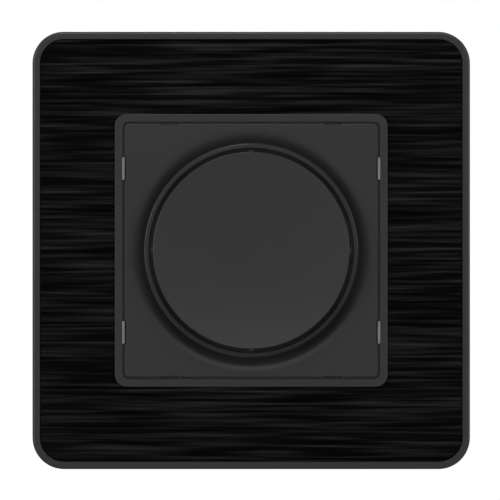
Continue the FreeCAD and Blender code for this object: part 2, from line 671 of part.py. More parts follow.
def make_cover_plate():
    """Cover: square plate with a dished ring, a lip, a well for the knob, a skirt and moulded latches."""
    piece = Piece("cover_plate")
    plate = piece.front("cover_face").square("cover_half", "cover_corner")
    piece.pad(plate.circle("0", "0", "dish_outer + rest_gap / 2"), "cover_thickness")
    piece.soften("Fillet", on_outline("cover_face", "cover_half"), "cover_round")
    section = piece.plan().outline(
        ("hole_radius", "cover_face + lip_depth"),
        ("lip_outer - lip_round", "cover_face + lip_depth"),
        ("lip_outer", "cover_face + lip_depth + lip_round", "lip_round", 1),
        ("lip_outer", "cover_face + dish_depth"),
        ("dish_inner", "cover_face + dish_depth"),
        ("dish_outer", "cover_face", "dish_curve", 1),
        ("dish_outer + rest_gap", "cover_face"),
        ("dish_outer + rest_gap", "cover_under + dish_backing"),
        ("hole_radius + collar_wall", "cover_under + dish_backing"),
        ("hole_radius + collar_wall", "floor_back"),
        ("floor_hole", "floor_back"),
        ("floor_hole", "floor_front"),
        ("hole_radius", "floor_front"))
    piece.turn(section)
    skirt = piece.front("cover_face + cover_step").square("skirt_half", "cover_corner + cover_gap - cover_play")
    skirt.square("skirt_half - cover_skirt", "cover_corner / 2")
    piece.pad(skirt, "cover_back - cover_face - cover_step")
    for sign in (-1, 1):
        arms = piece.side(signed(sign, "latch_place"))
        for place in (-1, 1):
            inner = signed(place, "ledge_inner - latch_gap - latch_thickness")
            outer = signed(place, "ledge_inner - latch_gap")
            hook = signed(place, "ledge_inner + latch_reach")
            arms.outline(
                ("cover_under - cover_thickness / 4", inner),
                ("skirt_back + hook_length + hook_play", inner),
                ("skirt_back + hook_length + hook_play", outer),
                ("skirt_back + hook_play * 3", hook),
                ("skirt_back + hook_play", hook),
                ("skirt_back + hook_play", outer),
                ("cover_under - cover_thickness / 4", outer))
        piece.pad(arms, "latch_width", middle=True)
    notches = piece.front("cover_face")
    sides = piece.front("cover_face")
    ribs = piece.front("cover_face + rib_drop")
    for sign in (-1, 1):
        for place in (-1, 1):
            middle = signed(sign, "latch_place")
            notches.box(*around(middle, "rib_spacing / 2 - rib_width"),
                        *span(place, "cover_half - latch_notch", "cover_half + cover_gap"))
            sides.box(*span(place, "cover_half - clip_notch", "cover_half + cover_gap"),
                      *around(middle, "clip_width / 2 + clip_play * 3"))
            for rib in (-1, 1):
                ribs.box(*around(f"{middle} + {rib} * rib_spacing / 2", "rib_width / 2"),
                         *span(place, "cover_half - cover_round", "skirt_half"))
    piece.pocket(notches, "cover_thickness")
    piece.pocket(sides, "cover_back - cover_face")
    piece.pad(ribs, "cover_thickness - rib_drop")


def make_clips():
    """Four folded steel leaf springs that hold the cover in the bezel's side walls."""
    for side, sign in SIDES.items():
        for level, place in (("upper", 1), ("lower", -1)):
            piece = Piece(f"clip_{side}_{level}")
            outer = "bezel_inner + clip_recess - clip_play"
            inner = "bezel_inner + clip_recess - clip_play - clip_thickness"
            front = "bezel_face + rest_gap / 2"
            back = "ledge_front - clip_play"
            leaf = piece.plan(signed(place, "latch_place")).outline(
                (signed(sign, outer), back),
                (signed(sign, outer), front),
                (signed(sign, inner), front),
                (signed(sign, inner), back),
                (signed(sign, f"{inner} + clip_strip"), back),
                (signed(sign, f"{inner} + clip_strip"), f"{front} + clip_strip"),
                (signed(sign, f"{outer} - clip_strip"), f"{front} + clip_strip"),
                (signed(sign, f"{outer} - clip_strip"), back))
            piece.pad(leaf, "clip_width", middle=True)


def make_knob():
    """Knob: hollow cap with a shallow hollow face, four pips, ribs and a hub with a flatted bore."""
    piece = Piece("knob")
    face_radius = "knob_radius - knob_draft"
    bowl = "((knob_radius - knob_draft - knob_round - face_centre)^2 + face_hollow^2) / (2 * face_hollow)"
    cap = piece.plan().outline(
        ("0", "face_back"),
        ("0", "knob_front + face_hollow"),
        ("face_centre", "knob_front + face_hollow"),
        (f"{face_radius} - knob_round", "knob_front", bowl, -1),
        (face_radius, "knob_front + knob_round", "knob_round", 1),
        ("knob_radius", "knob_back"),
        ("knob_radius - knob_wall", "knob_back"),
        (f"{face_radius} - knob_wall", "face_back"))
    piece.turn(cap)
    piece.pad(piece.front("face_back").circle("0", "0", "hub_radius"), "hub_back - face_back")
    for angle_sign in (0, 1, -1):
        rib = piece.front("face_back")
        half = "knob_rib / 2"
        reach = "knob_radius - knob_draft - knob_wall / 2"
        rib.outline(*[
            (f"({along}) * ({reach}) * cos({60 * angle_sign} deg) - ({aside}) * {half} * sin({60 * angle_sign} deg)",
             f"({along}) * ({reach}) * sin({60 * angle_sign} deg) + ({aside}) * {half} * cos({60 * angle_sign} deg)")
            for along, aside in ((-1, -1), (1, -1), (1, 1), (-1, 1))])
        piece.pad(rib, "knob_rib_height")
    pips = piece.front("knob_front + knob_round * 2")
    for sign in (-1, 1):
        along = span(sign, "knob_radius - knob_wall / 2 - knob_draft", "knob_radius + pip_height")
        across = around("0", "pip_width / 2")
        pips.box(*along, *across)
        pips.box(*across, *along)
    piece.pad(pips, "knob_back - knob_front - knob_round * 2")
    bore = piece.front("spindle_front - rest_gap").outline(*flatted("shaft_hole", "running_fit"))
    piece.pocket(bore, "hub_back - spindle_front + rest_gap")


def flatted(radius, play):
    """Outline of a round shaft with one flat on top, as corners for a sketch."""
    flat = f"spindle_radius - spindle_flat + {play}"
    half = f"sqrt(({radius})^2 - ({flat})^2)"
    return (f"-({half})", flat), ("0", f"-({radius})", radius, 1), (half, flat, radius, 1)


def make_knob_spring():
    """Open steel ring that grips the hub round the spindle."""
    piece = Piece("knob_spring")
    ring = piece.plan().box(
        "hub_radius + running_fit", "hub_radius + running_fit + spring_ring",
        "hub_back - spring_ring * 3", "hub_back - spring_ring")
    piece.turn(ring, angle=RING_ANGLE)


def make_spindle():
    """Spindle: flatted front, round middle, square drive and a pivot at the rear end."""
    piece = Piece("spindle")
    piece.pad(piece.front("spindle_front").circle("0", "0", "spindle_radius"), "shoulder_back - spindle_front")
    flat = piece.front("spindle_front").box(
        "-spindle_radius * 2", "spindle_radius * 2", "spindle_radius - spindle_flat", "spindle_radius * 2")
    piece.pocket(flat, "hub_back - spindle_front")
    half = "drive_side / 2"
    drive = piece.front("shoulder_back").box(*around("0", half), *around("0", half))
    piece.pad(drive, "drive_back - shoulder_back")
    piece.pad(piece.front("drive_back").circle("0", "0", "pivot_radius"), "pivot_length")


def make_bush_nut():
    """Hexagon nut that clamps the insert to the support plate."""
    piece = Piece("bush_nut")
    start = "panel_front - washer_thickness - nut_thickness"
    corner = "nut_width / sqrt(3)"
    corners = [(f"{corner} * cos({60 * step} deg)", f"{corner} * sin({60 * step} deg)") for step in range(6)]
    nut = piece.front(start).outline(*corners).circle("0", "0", "bush_radius + running_fit")
    piece.pad(nut, "nut_thickness")


def make_bush_washer():
    """Washer between the nut and the support plate."""
    piece = Piece("bush_washer")
    ring = piece.front("panel_front - washer_thickness").circle("0", "0", "washer_radius")
    piece.pad(ring.circle("0", "0", "bush_radius + running_fit"), "washer_thickness")


def make_support_plate():
    """Steel plate with its middle pressed forward: hole for the bush, windows for legs, slots and screw holes."""
    piece = Piece("support_plate")
    piece.pad(piece.front("plate_front").square("plate_half", "plate_corner"), "plate_thickness")
    raised = piece.front("panel_front").panel("panel_half_width", "panel_half_height", "plate_corner")
    piece.pad(raised, "panel_rise")
    hollow = piece.front("panel_back").panel("panel_half_width", "panel_half_height", "plate_corner")
    piece.pocket(hollow, "panel_rise")
    holes = piece.front("panel_front").circle("0", "0", "bush_radius + running_fit")
    reliefs = piece.front("panel_back")
    for sign in (-1, 1):
        centre = signed(sign, "slot_spacing / 2")
        holes.slot("0", *around(centre, "slot_length / 2 - slot_half_width"), "slot_half_width")
        holes.circle(signed(sign, "claw_screw_place"), "0", "clamp_screw + running_fit")
        for place in (-1, 1):
            holes.circle(signed(sign, "fixing_place"), signed(place, "fixing_place"), "fixing_radius + running_fit")
            holes.box(*around(signed(sign, "leg_place"), "leg_width / 2 + rest_gap"),
                      *span(place, "skirt_outer - leg_thickness - rest_gap", "skirt_outer + rest_gap"))
            reliefs.box(*around(signed(sign, "leg_place"), "leg_width / 2 + rest_gap"),
                        *span(place, "skirt_outer - leg_thickness", "skirt_outer + hook_reach + rest_gap"))
    piece.pocket(reliefs, "panel_rise")
    piece.pocket(holes, "plate_thickness + panel_rise")
    notches = piece.front("plate_front")
    for sign in (-1, 1):
        notches.box(*span(sign, "plate_half - gang_notch_depth", "plate_half * 2"),
                    *around("0", "gang_notch_width / 2"))
    piece.pocket(notches, "plate_thickness")


def housing_outline(drawing, inset):
    """Draw the housing's outline, a square with cut corners, moved in by a wall."""
    half = f"housing_half - ({inset})"
    cut = f"housing_half - housing_chamfer - ({inset}) * (sqrt(2) - 1)"
    return drawing.outline(
        (cut, f"-({half})"), (half, f"-({cut})"), (half, cut), (cut, half),
        (f"-({cut})", half), (f"-({half})", cut), (f"-({half})", f"-({cut})"), (f"-({cut})", f"-({half})"))


def make_housing_lid():
    """Lid behind the support plate, with a window for the heat sink's foot."""
    piece = Piece("housing_lid")
    piece.pad(housing_outline(piece.front("panel_back"), "0"), "lid_thickness")
    holes = piece.front("panel_back").circle("0", "0", "bush_radius + running_fit")
    for sign in (-1, 1):
        for place in (-1, 1):
            holes.circle(signed(sign, "fixing_place"), signed(place, "fixing_place"), "fixing_radius + running_fit")
    holes.box(*around("(sink_low + sink_outer) / 2", "sink_foot / 2 + rest_gap / 2"),
              *around("0", "sink_height / 2 + rest_gap / 2"))
    piece.pocket(holes, "lid_thickness")


def terminal_places():
    """Give the three terminals' places across the housing."""
    return [signed(step, "terminal_pitch") for step in (-1, 0, 1)]


def make_housing_cup():
    """Deep housing: cavity, terminal cells, bosses and pillars, ramps for the claws and wire entries."""
    piece = Piece("housing_cup")
    piece.pad(housing_outline(piece.front("lid_back"), "0"), "housing_depth - lid_back")
    cut = "housing_half - housing_chamfer - housing_wall * (sqrt(2) - 1)"
    narrow = "inner_half - claw_recess_depth"
    shelf = "claw_recess / 2 + housing_wall"
    cavity = piece.front("lid_back").outline(
        (cut, "inner_half"), (f"-({cut})", "inner_half"), ("-inner_half", cut), ("-inner_half", shelf),
        (f"-({narrow})", shelf), (f"-({narrow})", "block_low"), (narrow, "block_low"), (narrow, shelf),
        ("inner_half", shelf), ("inner_half", cut))
    piece.pocket(cavity, "housing_floor - lid_back")
    supports = piece.front("board_back")
    bosses = piece.front("lid_back")
    pilots = piece.front("lid_back")
    for sign in (-1, 1):
        supports.circle(signed(sign, "pillar_place"), "pillar_upper", "pillar_radius")
        supports.circle(signed(sign, "pillar_place"), "-pillar_lower", "pillar_radius")
        bosses.circle(signed(sign, "fixing_place"), "fixing_place", "fixing_boss")
        for place in (-1, 1):
            pilots.circle(signed(sign, "fixing_place"), signed(place, "fixing_place"), "fixing_radius + running_fit")
    piece.pad(supports, "housing_floor + housing_wall / 2 - board_back")
    piece.pad(bosses, "housing_floor + housing_wall / 2 - lid_back")
    piece.pocket(pilots, "fixing_end + pilot_room - lid_back")
    cells = piece.front("lid_back")
    slots = piece.front("lid_back")
    webs = piece.front("web_front - running_fit")
    wells = piece.front("web_back")
    entries = piece.plan("-housing_half")
    for across in terminal_places():
        cells.box(*around(across, "cell_half_width"), *around("-terminal_height", "cell_half_height"))
        slots.box(*around(across, "bar_width / 2 + running_fit * 2"),
                  "-terminal_height + cell_half_height - rest_gap", "block_low + rest_gap")
        webs.circle(across, "-terminal_height", "clamp_screw + running_fit * 2")
        wells.circle(across, "-terminal_height", "clamp_head + well_play")
        entries.circle(across, "bar_front - wire_space / 2", "entry_radius")
    piece.pocket(cells, "web_front - lid_back")
    piece.pocket(slots, "bar_back + running_fit * 2 - lid_back")
    piece.pocket(webs, "web_thickness + running_fit * 2")
    piece.pocket(wells, "housing_depth - web_back")
    piece.pocket(entries, "housing_half - terminal_height - cell_half_height + rest_gap", reverse=True)
    recess = piece.plan()
    for sign in (-1, 1):
        recess.outline(
            (signed(sign, "housing_half + housing_wall"), "lid_back"),
            (signed(sign, "ramp_top"), "lid_back"),
            (signed(sign, "ramp_top"), "ramp_start"),
            (signed(sign, "ramp_foot"), "ramp_end"),
            (signed(sign, "ramp_foot"), "housing_depth + housing_wall"),
            (signed(sign, "housing_half + housing_wall"), "housing_depth + housing_wall"))
    piece.pocket(recess, "claw_recess", middle=True)


def make_slotted_screw(name, across, start, up, head, head_height, shank, shank_length):
    """Cheese-head screw along Y. A positive length points its shank to the rear, a negative one to the front."""
    way = 1 if value(shank_length) > 0 else -1
    piece = Piece(name)
    piece.pad(piece.front(start).circle(across, up, head), head_height, reverse=way > 0)
    piece.pad(piece.front(start).circle(across, up, shank), signed(way, shank_length), reverse=way < 0)
    slot_depth = f"({head_height}) / 2"
    cut = piece.front(f"({start}) - {way} * ({head_height})")
    cut.box(*around(across, "screw_slot / 2"), *around(up, f"({head}) * 2"))
    piece.pocket(cut, slot_depth, reverse=way < 0)
    return piece


def make_housing_screws():
    """Four like screws that hold the housing to the plate, as one group."""
    piece = Piece("housing_screws")
    heads = piece.front("panel_front - fixing_head_height")
    shanks = piece.front("panel_front")
    slots = piece.front("panel_front - fixing_head_height")
    for sign in (-1, 1):
        for place in (-1, 1):
            across = signed(sign, "fixing_place")
            up = signed(place, "fixing_place")
            heads.circle(across, up, "fixing_head")
            shanks.circle(across, up, "fixing_radius")
            slots.box(*around(across, "screw_slot / 2"), *around(up, "fixing_head * 1.5"))
    piece.pad(heads, "fixing_head_height")
    piece.pad(shanks, "fixing_length")
    piece.pocket(slots, "fixing_head_height / 2")


def make_potentiometer():
    """Threaded bush, case, resistance track and wiper."""
    bush = Piece("pot_bush")
    bush.pad(bush.front("bush_front").circle("0", "0", "bush_radius"), "flange_back - bush_front")
    bush.pad(bush.front("lid_back").circle("0", "0", "pot_radius"), "bush_flange")
    bush.pocket(bush.front("bush_front").circle("0", "0", "shaft_hole"), "flange_back - bush_front")

    case = Piece("pot_body")
    case.pad(case.front("flange_back").circle("0", "0", "pot_radius"), "pot_depth")
    case.pocket(case.front("flange_back").circle("0", "0", "pot_radius - pot_wall"), "pot_depth - pot_floor")
    case.pocket(case.front("flange_back").circle("0", "0", "drive_hole"), "pot_depth")

    track = Piece("pot_track")
    disc = track.front("track_front").circle("0", "0", "pot_radius - pot_wall - running_fit")
    track.pad(disc.circle("0", "0", "drive_hole"), "track_thickness")

    wiper = Piece("pot_wiper")
    wiper.pad(wiper.front("wiper_front").circle("0", "0", "wiper_hub"), "wiper_thickness")
    arm = wiper.front("wiper_front").box("0", "wiper_reach", *around("0", "wiper_thickness"))
    wiper.pad(arm, "wiper_thickness / 2")
    finger = wiper.front("wiper_front").box("wiper_reach - wiper_thickness", "wiper_reach",
                                            *around("0", "wiper_thickness"))
    wiper.pad(finger, "track_front - running_fit * 2 - wiper_front")
    half = "drive_side / 2 + running_fit"
    wiper.pocket(wiper.front("wiper_front").box(*around("0", half), *around("0", half)), "wiper_thickness")


def make_switch():
    """Push switch behind the potentiometer: case, plunger, return spring, bridge and contacts."""
    case = Piece("switch_body")
    half_width = "switch_width / 2"
    half_height = "switch_height / 2"
    case.pad(case.front("pot_back").box(*around("0", half_width), *around("0", half_height)), "switch_depth")
    inside = case.front("switch_inside").box(
        *around("0", "switch_width / 2 - switch_wall"), *around("0", "switch_height / 2 - switch_wall"))
    case.pocket(inside, "switch_depth - switch_wall * 2")
    case.pocket(case.front("pot_back").circle("0", "0", "drive_hole"), "switch_wall")
    holes = case.front("switch_back - switch_wall")
    for sign in (-1, 1):
        holes.circle(signed(sign, "contact_place"), "0", "contact_radius + running_fit")
    case.pocket(holes, "switch_wall")

    plunger = Piece("switch_plunger")
    plunger.pad(plunger.front("plunger_front").circle("0", "0", "plunger_radius"), "plunger_end - plunger_front")
    plunger.pad(plunger.front("flange_front").circle("0", "0", "plunger_flange"), "plunger_flange_thickness")
    socket = plunger.front("plunger_front").circle("0", "0", "pivot_radius + running_fit")
    plunger.pocket(socket, "pivot_length + running_fit")

    bridge = Piece("switch_bridge")
    strip = bridge.front("flange_rear").box(*around("0", "bridge_length / 2"), *around("0", "bridge_width / 2"))
    bridge.pad(strip, "bridge_thickness")
    ring = bridge.front("flange_rear").circle("0", "0", "plunger_radius + bridge_width / 2")
    bridge.pad(ring, "bridge_thickness")
    bridge.pocket(bridge.front("flange_rear").circle("0", "0", "plunger_radius + running_fit"), "bridge_thickness")

    contacts = Piece("switch_contacts")
    pair = contacts.front("bridge_rear + push_travel + running_fit * 2")
    for sign in (-1, 1):
        pair.circle(signed(sign, "contact_place"), "0", "contact_radius")
    contacts.pad(pair, "switch_back - bridge_rear - push_travel - running_fit * 2")

    spring = Piece("switch_spring")
    section = spring.plan().circle("plunger_radius + coil_wire * 2 + running_fit", "coil_front + coil_wire", "coil_wire")
    coil = spring.body.newObject("PartDesign::AdditiveHelix", "switch_spring_coil")
    coil.Profile = section.sketch
    coil.ReferenceAxis = (section.sketch, ["V_Axis"])
    coil.Mode = 2
    bind(coil, "Height", "coil_back - coil_front - coil_wire * 2")
    coil.Turns = SPRING_TURNS


def make_circuit_board():
    """Board that carries the parts, with cut upper corners."""
    piece = Piece("circuit_board")
    shoulder = "fixing_place * 2 - (fixing_boss + rest_gap) * sqrt(2)"
    board = piece.front("board_front").outline(
        ("-board_half", "-board_bottom"), ("board_half", "-board_bottom"),
        ("board_half", f"{shoulder} - board_half"), (f"{shoulder} - board_top", "board_top"),
        (f"board_top - ({shoulder})", "board_top"), ("-board_half", f"{shoulder} - board_half"))
    piece.pad(board, "board_thickness")


def make_choke():
    """Interference choke: ferrite drum with its copper winding, lying along X."""
    core = Piece("choke_core")
    axis = "board_front - choke_radius - running_fit"
    half = "choke_length / 2"
    rod_part = core.side(f"-({half})").circle(axis, "choke_height", "choke_rod")
    core.pad(rod_part, "choke_length")
    for start in (f"-({half})", f"{half} - choke_disc"):
        core.pad(core.side(start).circle(axis, "choke_height", "choke_radius"), "choke_disc")

    winding = Piece("choke_winding")
    coil = winding.side(f"-({half}) + choke_disc + running_fit")
    coil.circle(axis, "choke_height", "choke_radius - rest_gap")
    coil.circle(axis, "choke_height", "choke_rod + running_fit")
    winding.pad(coil, "choke_length - choke_disc * 2 - running_fit * 2")


def make_board_parts():
    """Parts soldered to the board: capacitors, fuse, fuse clips and resistors."""
    film = Piece("suppression_capacitor")
    outline = film.front("board_front - film_depth").box(
        "-film_outer", "-film_outer + film_width", "-film_bottom", "film_height - film_bottom")
    film.pad(outline, "film_depth")
    film.soften("Fillet", runs_along_depth, "film_round")

    timer = Piece("timing_capacitor")
    right = "-choke_length / 2 - timer_gap"
    outline = timer.front("board_front - timer_depth").box(
        f"{right} - timer_width", right, "pot_radius + rest_gap", "pot_radius + rest_gap + timer_height")
    timer.pad(outline, "timer_depth")

    fuse = Piece("fuse")
    fuse.pad(fuse.side("-fuse_length / 2").circle("fuse_axis", "fuse_height", "fuse_radius"), "fuse_length")

    clips = Piece("fuse_clips")
    opening = "fuse_radius + running_fit"
    outer = f"{opening} + fuse_strip"
    middle = "fuse_length / 2 - fuse_clip_inset"
    for sign in (-1, 1):
        channel = clips.side(signed(sign, middle)).outline(
            ("board_back", f"fuse_height - ({outer})"), ("board_back", f"fuse_height + {outer}"),
            ("fuse_axis + fuse_clip_rise", f"fuse_height + {outer}"),
            ("fuse_axis + fuse_clip_rise", f"fuse_height + {opening}"),
            ("board_back + fuse_strip", f"fuse_height + {opening}"),
            ("board_back + fuse_strip", f"fuse_height - ({opening})"),
            ("fuse_axis + fuse_clip_rise", f"fuse_height - ({opening})"),
            ("fuse_axis + fuse_clip_rise", f"fuse_height - ({outer})"))
        clips.pad(channel, "fuse_clip_width", middle=True)

    resistors = Piece("resistors")
    bodies = resistors.side("-resistor_length / 2")
    for step in (-1, 0, 1):
        bodies.circle("board_back + resistor_radius + running_fit", signed(step, "resistor_pitch"), "resistor_radius")
    resistors.pad(bodies, "resistor_length")


def make_power_parts():
    """Power transistor, its screw and the heat sink whose foot touches the support plate."""
    sink = Piece("heat_sink")
    half = "sink_height / 2"
    back = "board_front - rest_gap * 2"
    profile = sink.plan().outline(
        ("sink_low", "panel_back"), ("sink_outer", "panel_back"), ("sink_outer", back), ("sink_inner", back),
        ("sink_inner", "panel_back + sink_thickness"), ("sink_low", "panel_back + sink_thickness"))
    sink.pad(profile, "sink_height", middle=True)
    hole_depth = "board_front - lead_length - triac_hole"
    sink.pocket(sink.side("sink_inner").circle(hole_depth, "0", "clamp_screw + running_fit"),
                "sink_thickness", reverse=True)

    triac = Piece("power_transistor")
    case_back = "board_front - lead_length"
    case = triac.plan().box("triac_inner", "sink_inner", f"{case_back} - triac_length", case_back)
    triac.pad(case, "triac_width", middle=True)
    triac.pocket(triac.side("triac_inner").circle(hole_depth, "0", "clamp_screw + running_fit"),
                 "triac_thickness", reverse=True)
    leads = triac.front(case_back)
    for step in (-1, 0, 1):
        leads.box(*around("(triac_inner + sink_inner) / 2", "bar_thickness / 2"),
                  *around(signed(step, "lead_pitch"), "bar_thickness / 2"))
    triac.pad(leads, "lead_length")

    screw = Piece("transistor_screw")
    length = "triac_thickness + sink_thickness"
    screw.pad(screw.side("triac_inner").circle(hole_depth, "0", "clamp_screw"), length)
    screw.pad(screw.side("triac_inner").circle(hole_depth, "0", "claw_head"), "fixing_head_height", reverse=True)


def make_terminals():
    """Three rising-cage terminals: screw, cage and current bar."""
    bars = Piece("current_bars")
    strips = bars.front("bar_front")
    for number, across in enumerate(terminal_places(), start=1):
        strips.box(*around(across, "bar_width / 2"),
                   "-terminal_height - cell_half_height + rest_gap", "-board_bottom + bar_width / 3")
        make_slotted_screw(f"terminal_screw_{number}", across, "head_front", "-terminal_height", "clamp_head",
                           "clamp_head_height", "clamp_screw", "tip - head_front")
        cage = Piece(f"terminal_cage_{number}")
        low = "-terminal_height - cage_height / 2"
        frame = cage.plan(low).box(*around(across, "cage_width / 2"), "cage_front", "cage_back")
        frame.box(*around(across, "cage_width / 2 - cage_wall"), "cage_front + cage_base", "cage_back - cage_nut")
        cage.pad(frame, "cage_height")
        hole = cage.front("cage_back - cage_nut").circle(across, "-terminal_height", "clamp_screw + running_fit")
        cage.pocket(hole, "cage_nut")
    bars.pad(strips, "bar_thickness")


def make_claws():
    """Two spreading claws, each drawn along its ramp by a nut on a screw."""
    for side, sign in SIDES.items():
        across = signed(sign, "claw_screw_place")
        make_slotted_screw(f"claw_screw_{side}", across, "panel_front", "0", "claw_head", "claw_head_height",
                           "clamp_screw", "claw_screw_end - panel_front")

        nut = Piece(f"claw_nut_{side}")
        square = nut.front("tab_back + running_fit").box(
            *around(across, "claw_nut_side / 2"), *around("0", "claw_nut_side / 2"))
        square.circle(across, "0", "clamp_screw + running_fit")
        nut.pad(square, "claw_nut_thickness")

        claw = Piece(f"claw_{side}")
        section = claw.plan().outline(
            (signed(sign, "tab_inner"), "tab_back"),
            (signed(sign, "tab_inner"), "claw_rest"),
            (signed(sign, "slot_end"), "claw_rest"),
            (signed(sign, "slot_end"), "claw_rest - claw_wing + claw_toe"),
            (signed(sign, "wing_outer - claw_thickness / 3"), "toe_front"),
            (signed(sign, "wing_outer + claw_toe"), "toe_front"),
            (signed(sign, "wing_outer"), "claw_rest - claw_wing + claw_toe"),
            (signed(sign, "wing_outer"), "tab_back"))
        claw.pad(section, "claw_width", middle=True)
        slot = claw.front("claw_rest").box(
            *span(sign, "tab_inner - claw_thickness", "slot_end"), *around("0", "clamp_screw + rest_gap"))
        claw.pocket(slot, "claw_thickness")
        teeth = claw.front("toe_front")
        for step in (-1, 1):
            teeth.box(*span(sign, "slot_end", "wing_outer + claw_toe * 2"),
                      *around(signed(step, "claw_width / 5"), "claw_width / 16"))
        claw.pocket(teeth, "claw_toe")


def check_document():
    """Stop if an object failed or a sub-part has no sound shape."""
    for item in DOC.Objects:
        if "Invalid" in item.State or "Error" in item.State:
            raise RuntimeError(f"{item.Label} failed: {item.State}")
    for body in PIECES:
        if body.Shape.isNull() or not body.Shape.isValid() or not body.Shape.Solids:
            raise RuntimeError(f"{body.Label} has no sound shape")


def main():
    """Build every sub-part, check them and write them out."""
    make_outer_frame()
    make_brushed_inlay()
    make_bezel()
    make_cover_plate()
    make_clips()
    make_knob()
    make_knob_spring()
    make_spindle()
    make_bush_nut()
    make_bush_washer()
    make_support_plate()
    make_housing_lid()
    make_housing_cup()
    make_housing_screws()
    make_potentiometer()
    make_switch()
    make_circuit_board()
    make_choke()
    make_board_parts()
    make_power_parts()
    make_terminals()
    make_claws()
    DOC.recompute()
    check_document()
    os.makedirs("parts", exist_ok=True)
    for body in PIECES:
        body.Shape.exportStep(os.path.join("parts", f"{body.Label}.step"))
        print(f"{body.Label}: {len(body.Shape.Solids)} solid, {body.Shape.Volume:.1f} mm3")


main()
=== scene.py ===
"""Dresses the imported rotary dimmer: its finishes, its fine pieces, the studio and the camera.

Sizes of patterns and pieces are in millimetres; places, and lengths in the studio, are in metres.
"""
import json
import logging
import math
from dataclasses import dataclass
from enum import Enum

import bpy
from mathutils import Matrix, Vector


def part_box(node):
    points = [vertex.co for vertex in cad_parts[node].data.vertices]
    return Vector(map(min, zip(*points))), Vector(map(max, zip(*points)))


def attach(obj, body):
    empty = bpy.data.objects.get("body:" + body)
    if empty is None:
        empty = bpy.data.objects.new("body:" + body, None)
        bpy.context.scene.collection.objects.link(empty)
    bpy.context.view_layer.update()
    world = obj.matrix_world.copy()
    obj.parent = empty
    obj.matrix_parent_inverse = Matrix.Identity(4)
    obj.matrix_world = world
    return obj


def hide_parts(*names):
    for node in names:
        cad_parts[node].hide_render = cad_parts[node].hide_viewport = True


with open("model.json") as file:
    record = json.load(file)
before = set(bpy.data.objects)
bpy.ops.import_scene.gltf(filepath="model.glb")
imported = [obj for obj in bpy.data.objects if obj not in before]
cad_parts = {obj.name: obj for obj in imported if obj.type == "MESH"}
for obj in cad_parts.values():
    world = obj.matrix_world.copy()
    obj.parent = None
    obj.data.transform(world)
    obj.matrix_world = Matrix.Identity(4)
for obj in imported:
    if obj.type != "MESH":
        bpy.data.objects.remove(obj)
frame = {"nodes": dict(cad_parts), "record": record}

LOG = logging.getLogger("rotary_dimmer")
MM = 0.001
FULL_TURN = 2 * math.pi
QUARTER_TURN = math.pi / 2
SMOOTH_ANGLE = math.radians(35)
BEVEL_ANGLE = math.radians(50)
MERGE_DISTANCE = 1e-7
ROUND_SIDES = 40
WHITE = "#ffffff"
BLACK = "#000000"
# the middle of a rounded edge stands in by this share of its radius
EDGE_SHARE = 0.3
# the wave texture repeats after this much of its scaled coordinate
WAVE_PERIOD = FULL_TURN / 20

Place = tuple[float, float, float]
# heights, each with a radius
Rings = tuple[tuple[float, float], ...]
Tree = bpy.types.NodeTree
Socket = bpy.types.NodeSocket

NOWHERE: Place = (0.0, 0.0, 0.0)
# scale that leaves the depth out of a pattern
WITHOUT_DEPTH: Place = (1.0, 0.0, 1.0)


class Body(Enum):
    """The bodies that new pieces ride on."""

    BASE = "base"
    CLAW_SCREW_LEFT = "claw_screw_left"
    CLAW_SCREW_RIGHT = "claw_screw_right"
    TERMINAL_SCREW_1 = "terminal_screw_1"
    TERMINAL_SCREW_2 = "terminal_screw_2"
    TERMINAL_SCREW_3 = "terminal_screw_3"


class Axis(Enum):
    """The way that a round piece points, with the turn that takes it there from Z."""

    ACROSS = (0.0, QUARTER_TURN, 0.0)
    REARWARD = (-QUARTER_TURN, 0.0, 0.0)
    FORWARD = (QUARTER_TURN, 0.0, 0.0)


def linear(colour: str) -> tuple[float, float, float, float]:
    """Turn an sRGB hex colour into the linear colour that a shader socket takes.

    Args:
        colour: six hex digits after a hash sign.

    Returns:
        Red, green, blue and a full alpha.
    """
    channels = [int(colour[start:start + 2], 16) / 255 for start in (1, 3, 5)]
    # the sRGB curve: straight near black and a power above it
    bright = [c / 12.92 if c <= 0.04045 else ((c + 0.055) / 1.055) ** 2.4 for c in channels]
    return bright[0], bright[1], bright[2], 1.0


def repeats(size: float) -> float:
    """Give how many times a pattern of this size in millimetres fits into a metre."""
    return 1 / (size * MM)


def stretch(sizes: Place) -> Place:
    """Give the mapping scale of a pattern that has these sizes in millimetres along X, Y and Z."""
    return tuple(repeats(size) for size in sizes)


def clear_tree(owner: bpy.types.Material | bpy.types.World) -> Tree:
    """Give the owner's node tree, switched on and empty.

    Args:
        owner: a new material or the world.

    Returns:
        The empty tree.
    """
    owner.use_nodes = True
    owner.node_tree.nodes.clear()
    return owner.node_tree


def add_node(tree: Tree, kind: str, settings: dict | None = None,
             links: dict[str | int, Socket] | None = None) -> bpy.types.Node:
    """Add a node with its settings and its links.

    Args:
        tree: the tree that gets the node.
        kind: the node's type name.
        settings: the node's own settings, values for sockets under their names or numbers, and for a
            colour ramp its stops as places with sRGB hex colours.
        links: output sockets that feed input sockets, under the inputs' names or numbers.

    Returns:
        The new node.
    """
    node = tree.nodes.new(kind)
    for key, setting in (settings or {}).items():
        if key == "stops":
            while len(node.color_ramp.elements) < len(setting):
                node.color_ramp.elements.new(1.0)
            for element, (position, colour) in zip(node.color_ramp.elements, setting):
                element.position = position
                element.color = linear(colour)
        elif key == "interpolation":
            node.color_ramp.interpolation = setting
        elif isinstance(key, str) and hasattr(node, key):
            setattr(node, key, setting)
        else:
            node.inputs[key].default_value = setting
    for key, source in (links or {}).items():
        tree.links.new(source, node.inputs[key])
    return node


@dataclass(frozen=True)
class Pattern:
    """What a finish draws: its colour, its relief's height and, where it has one, its gloss."""

    colour: Socket
    height: Socket
    gloss: Socket | None = None


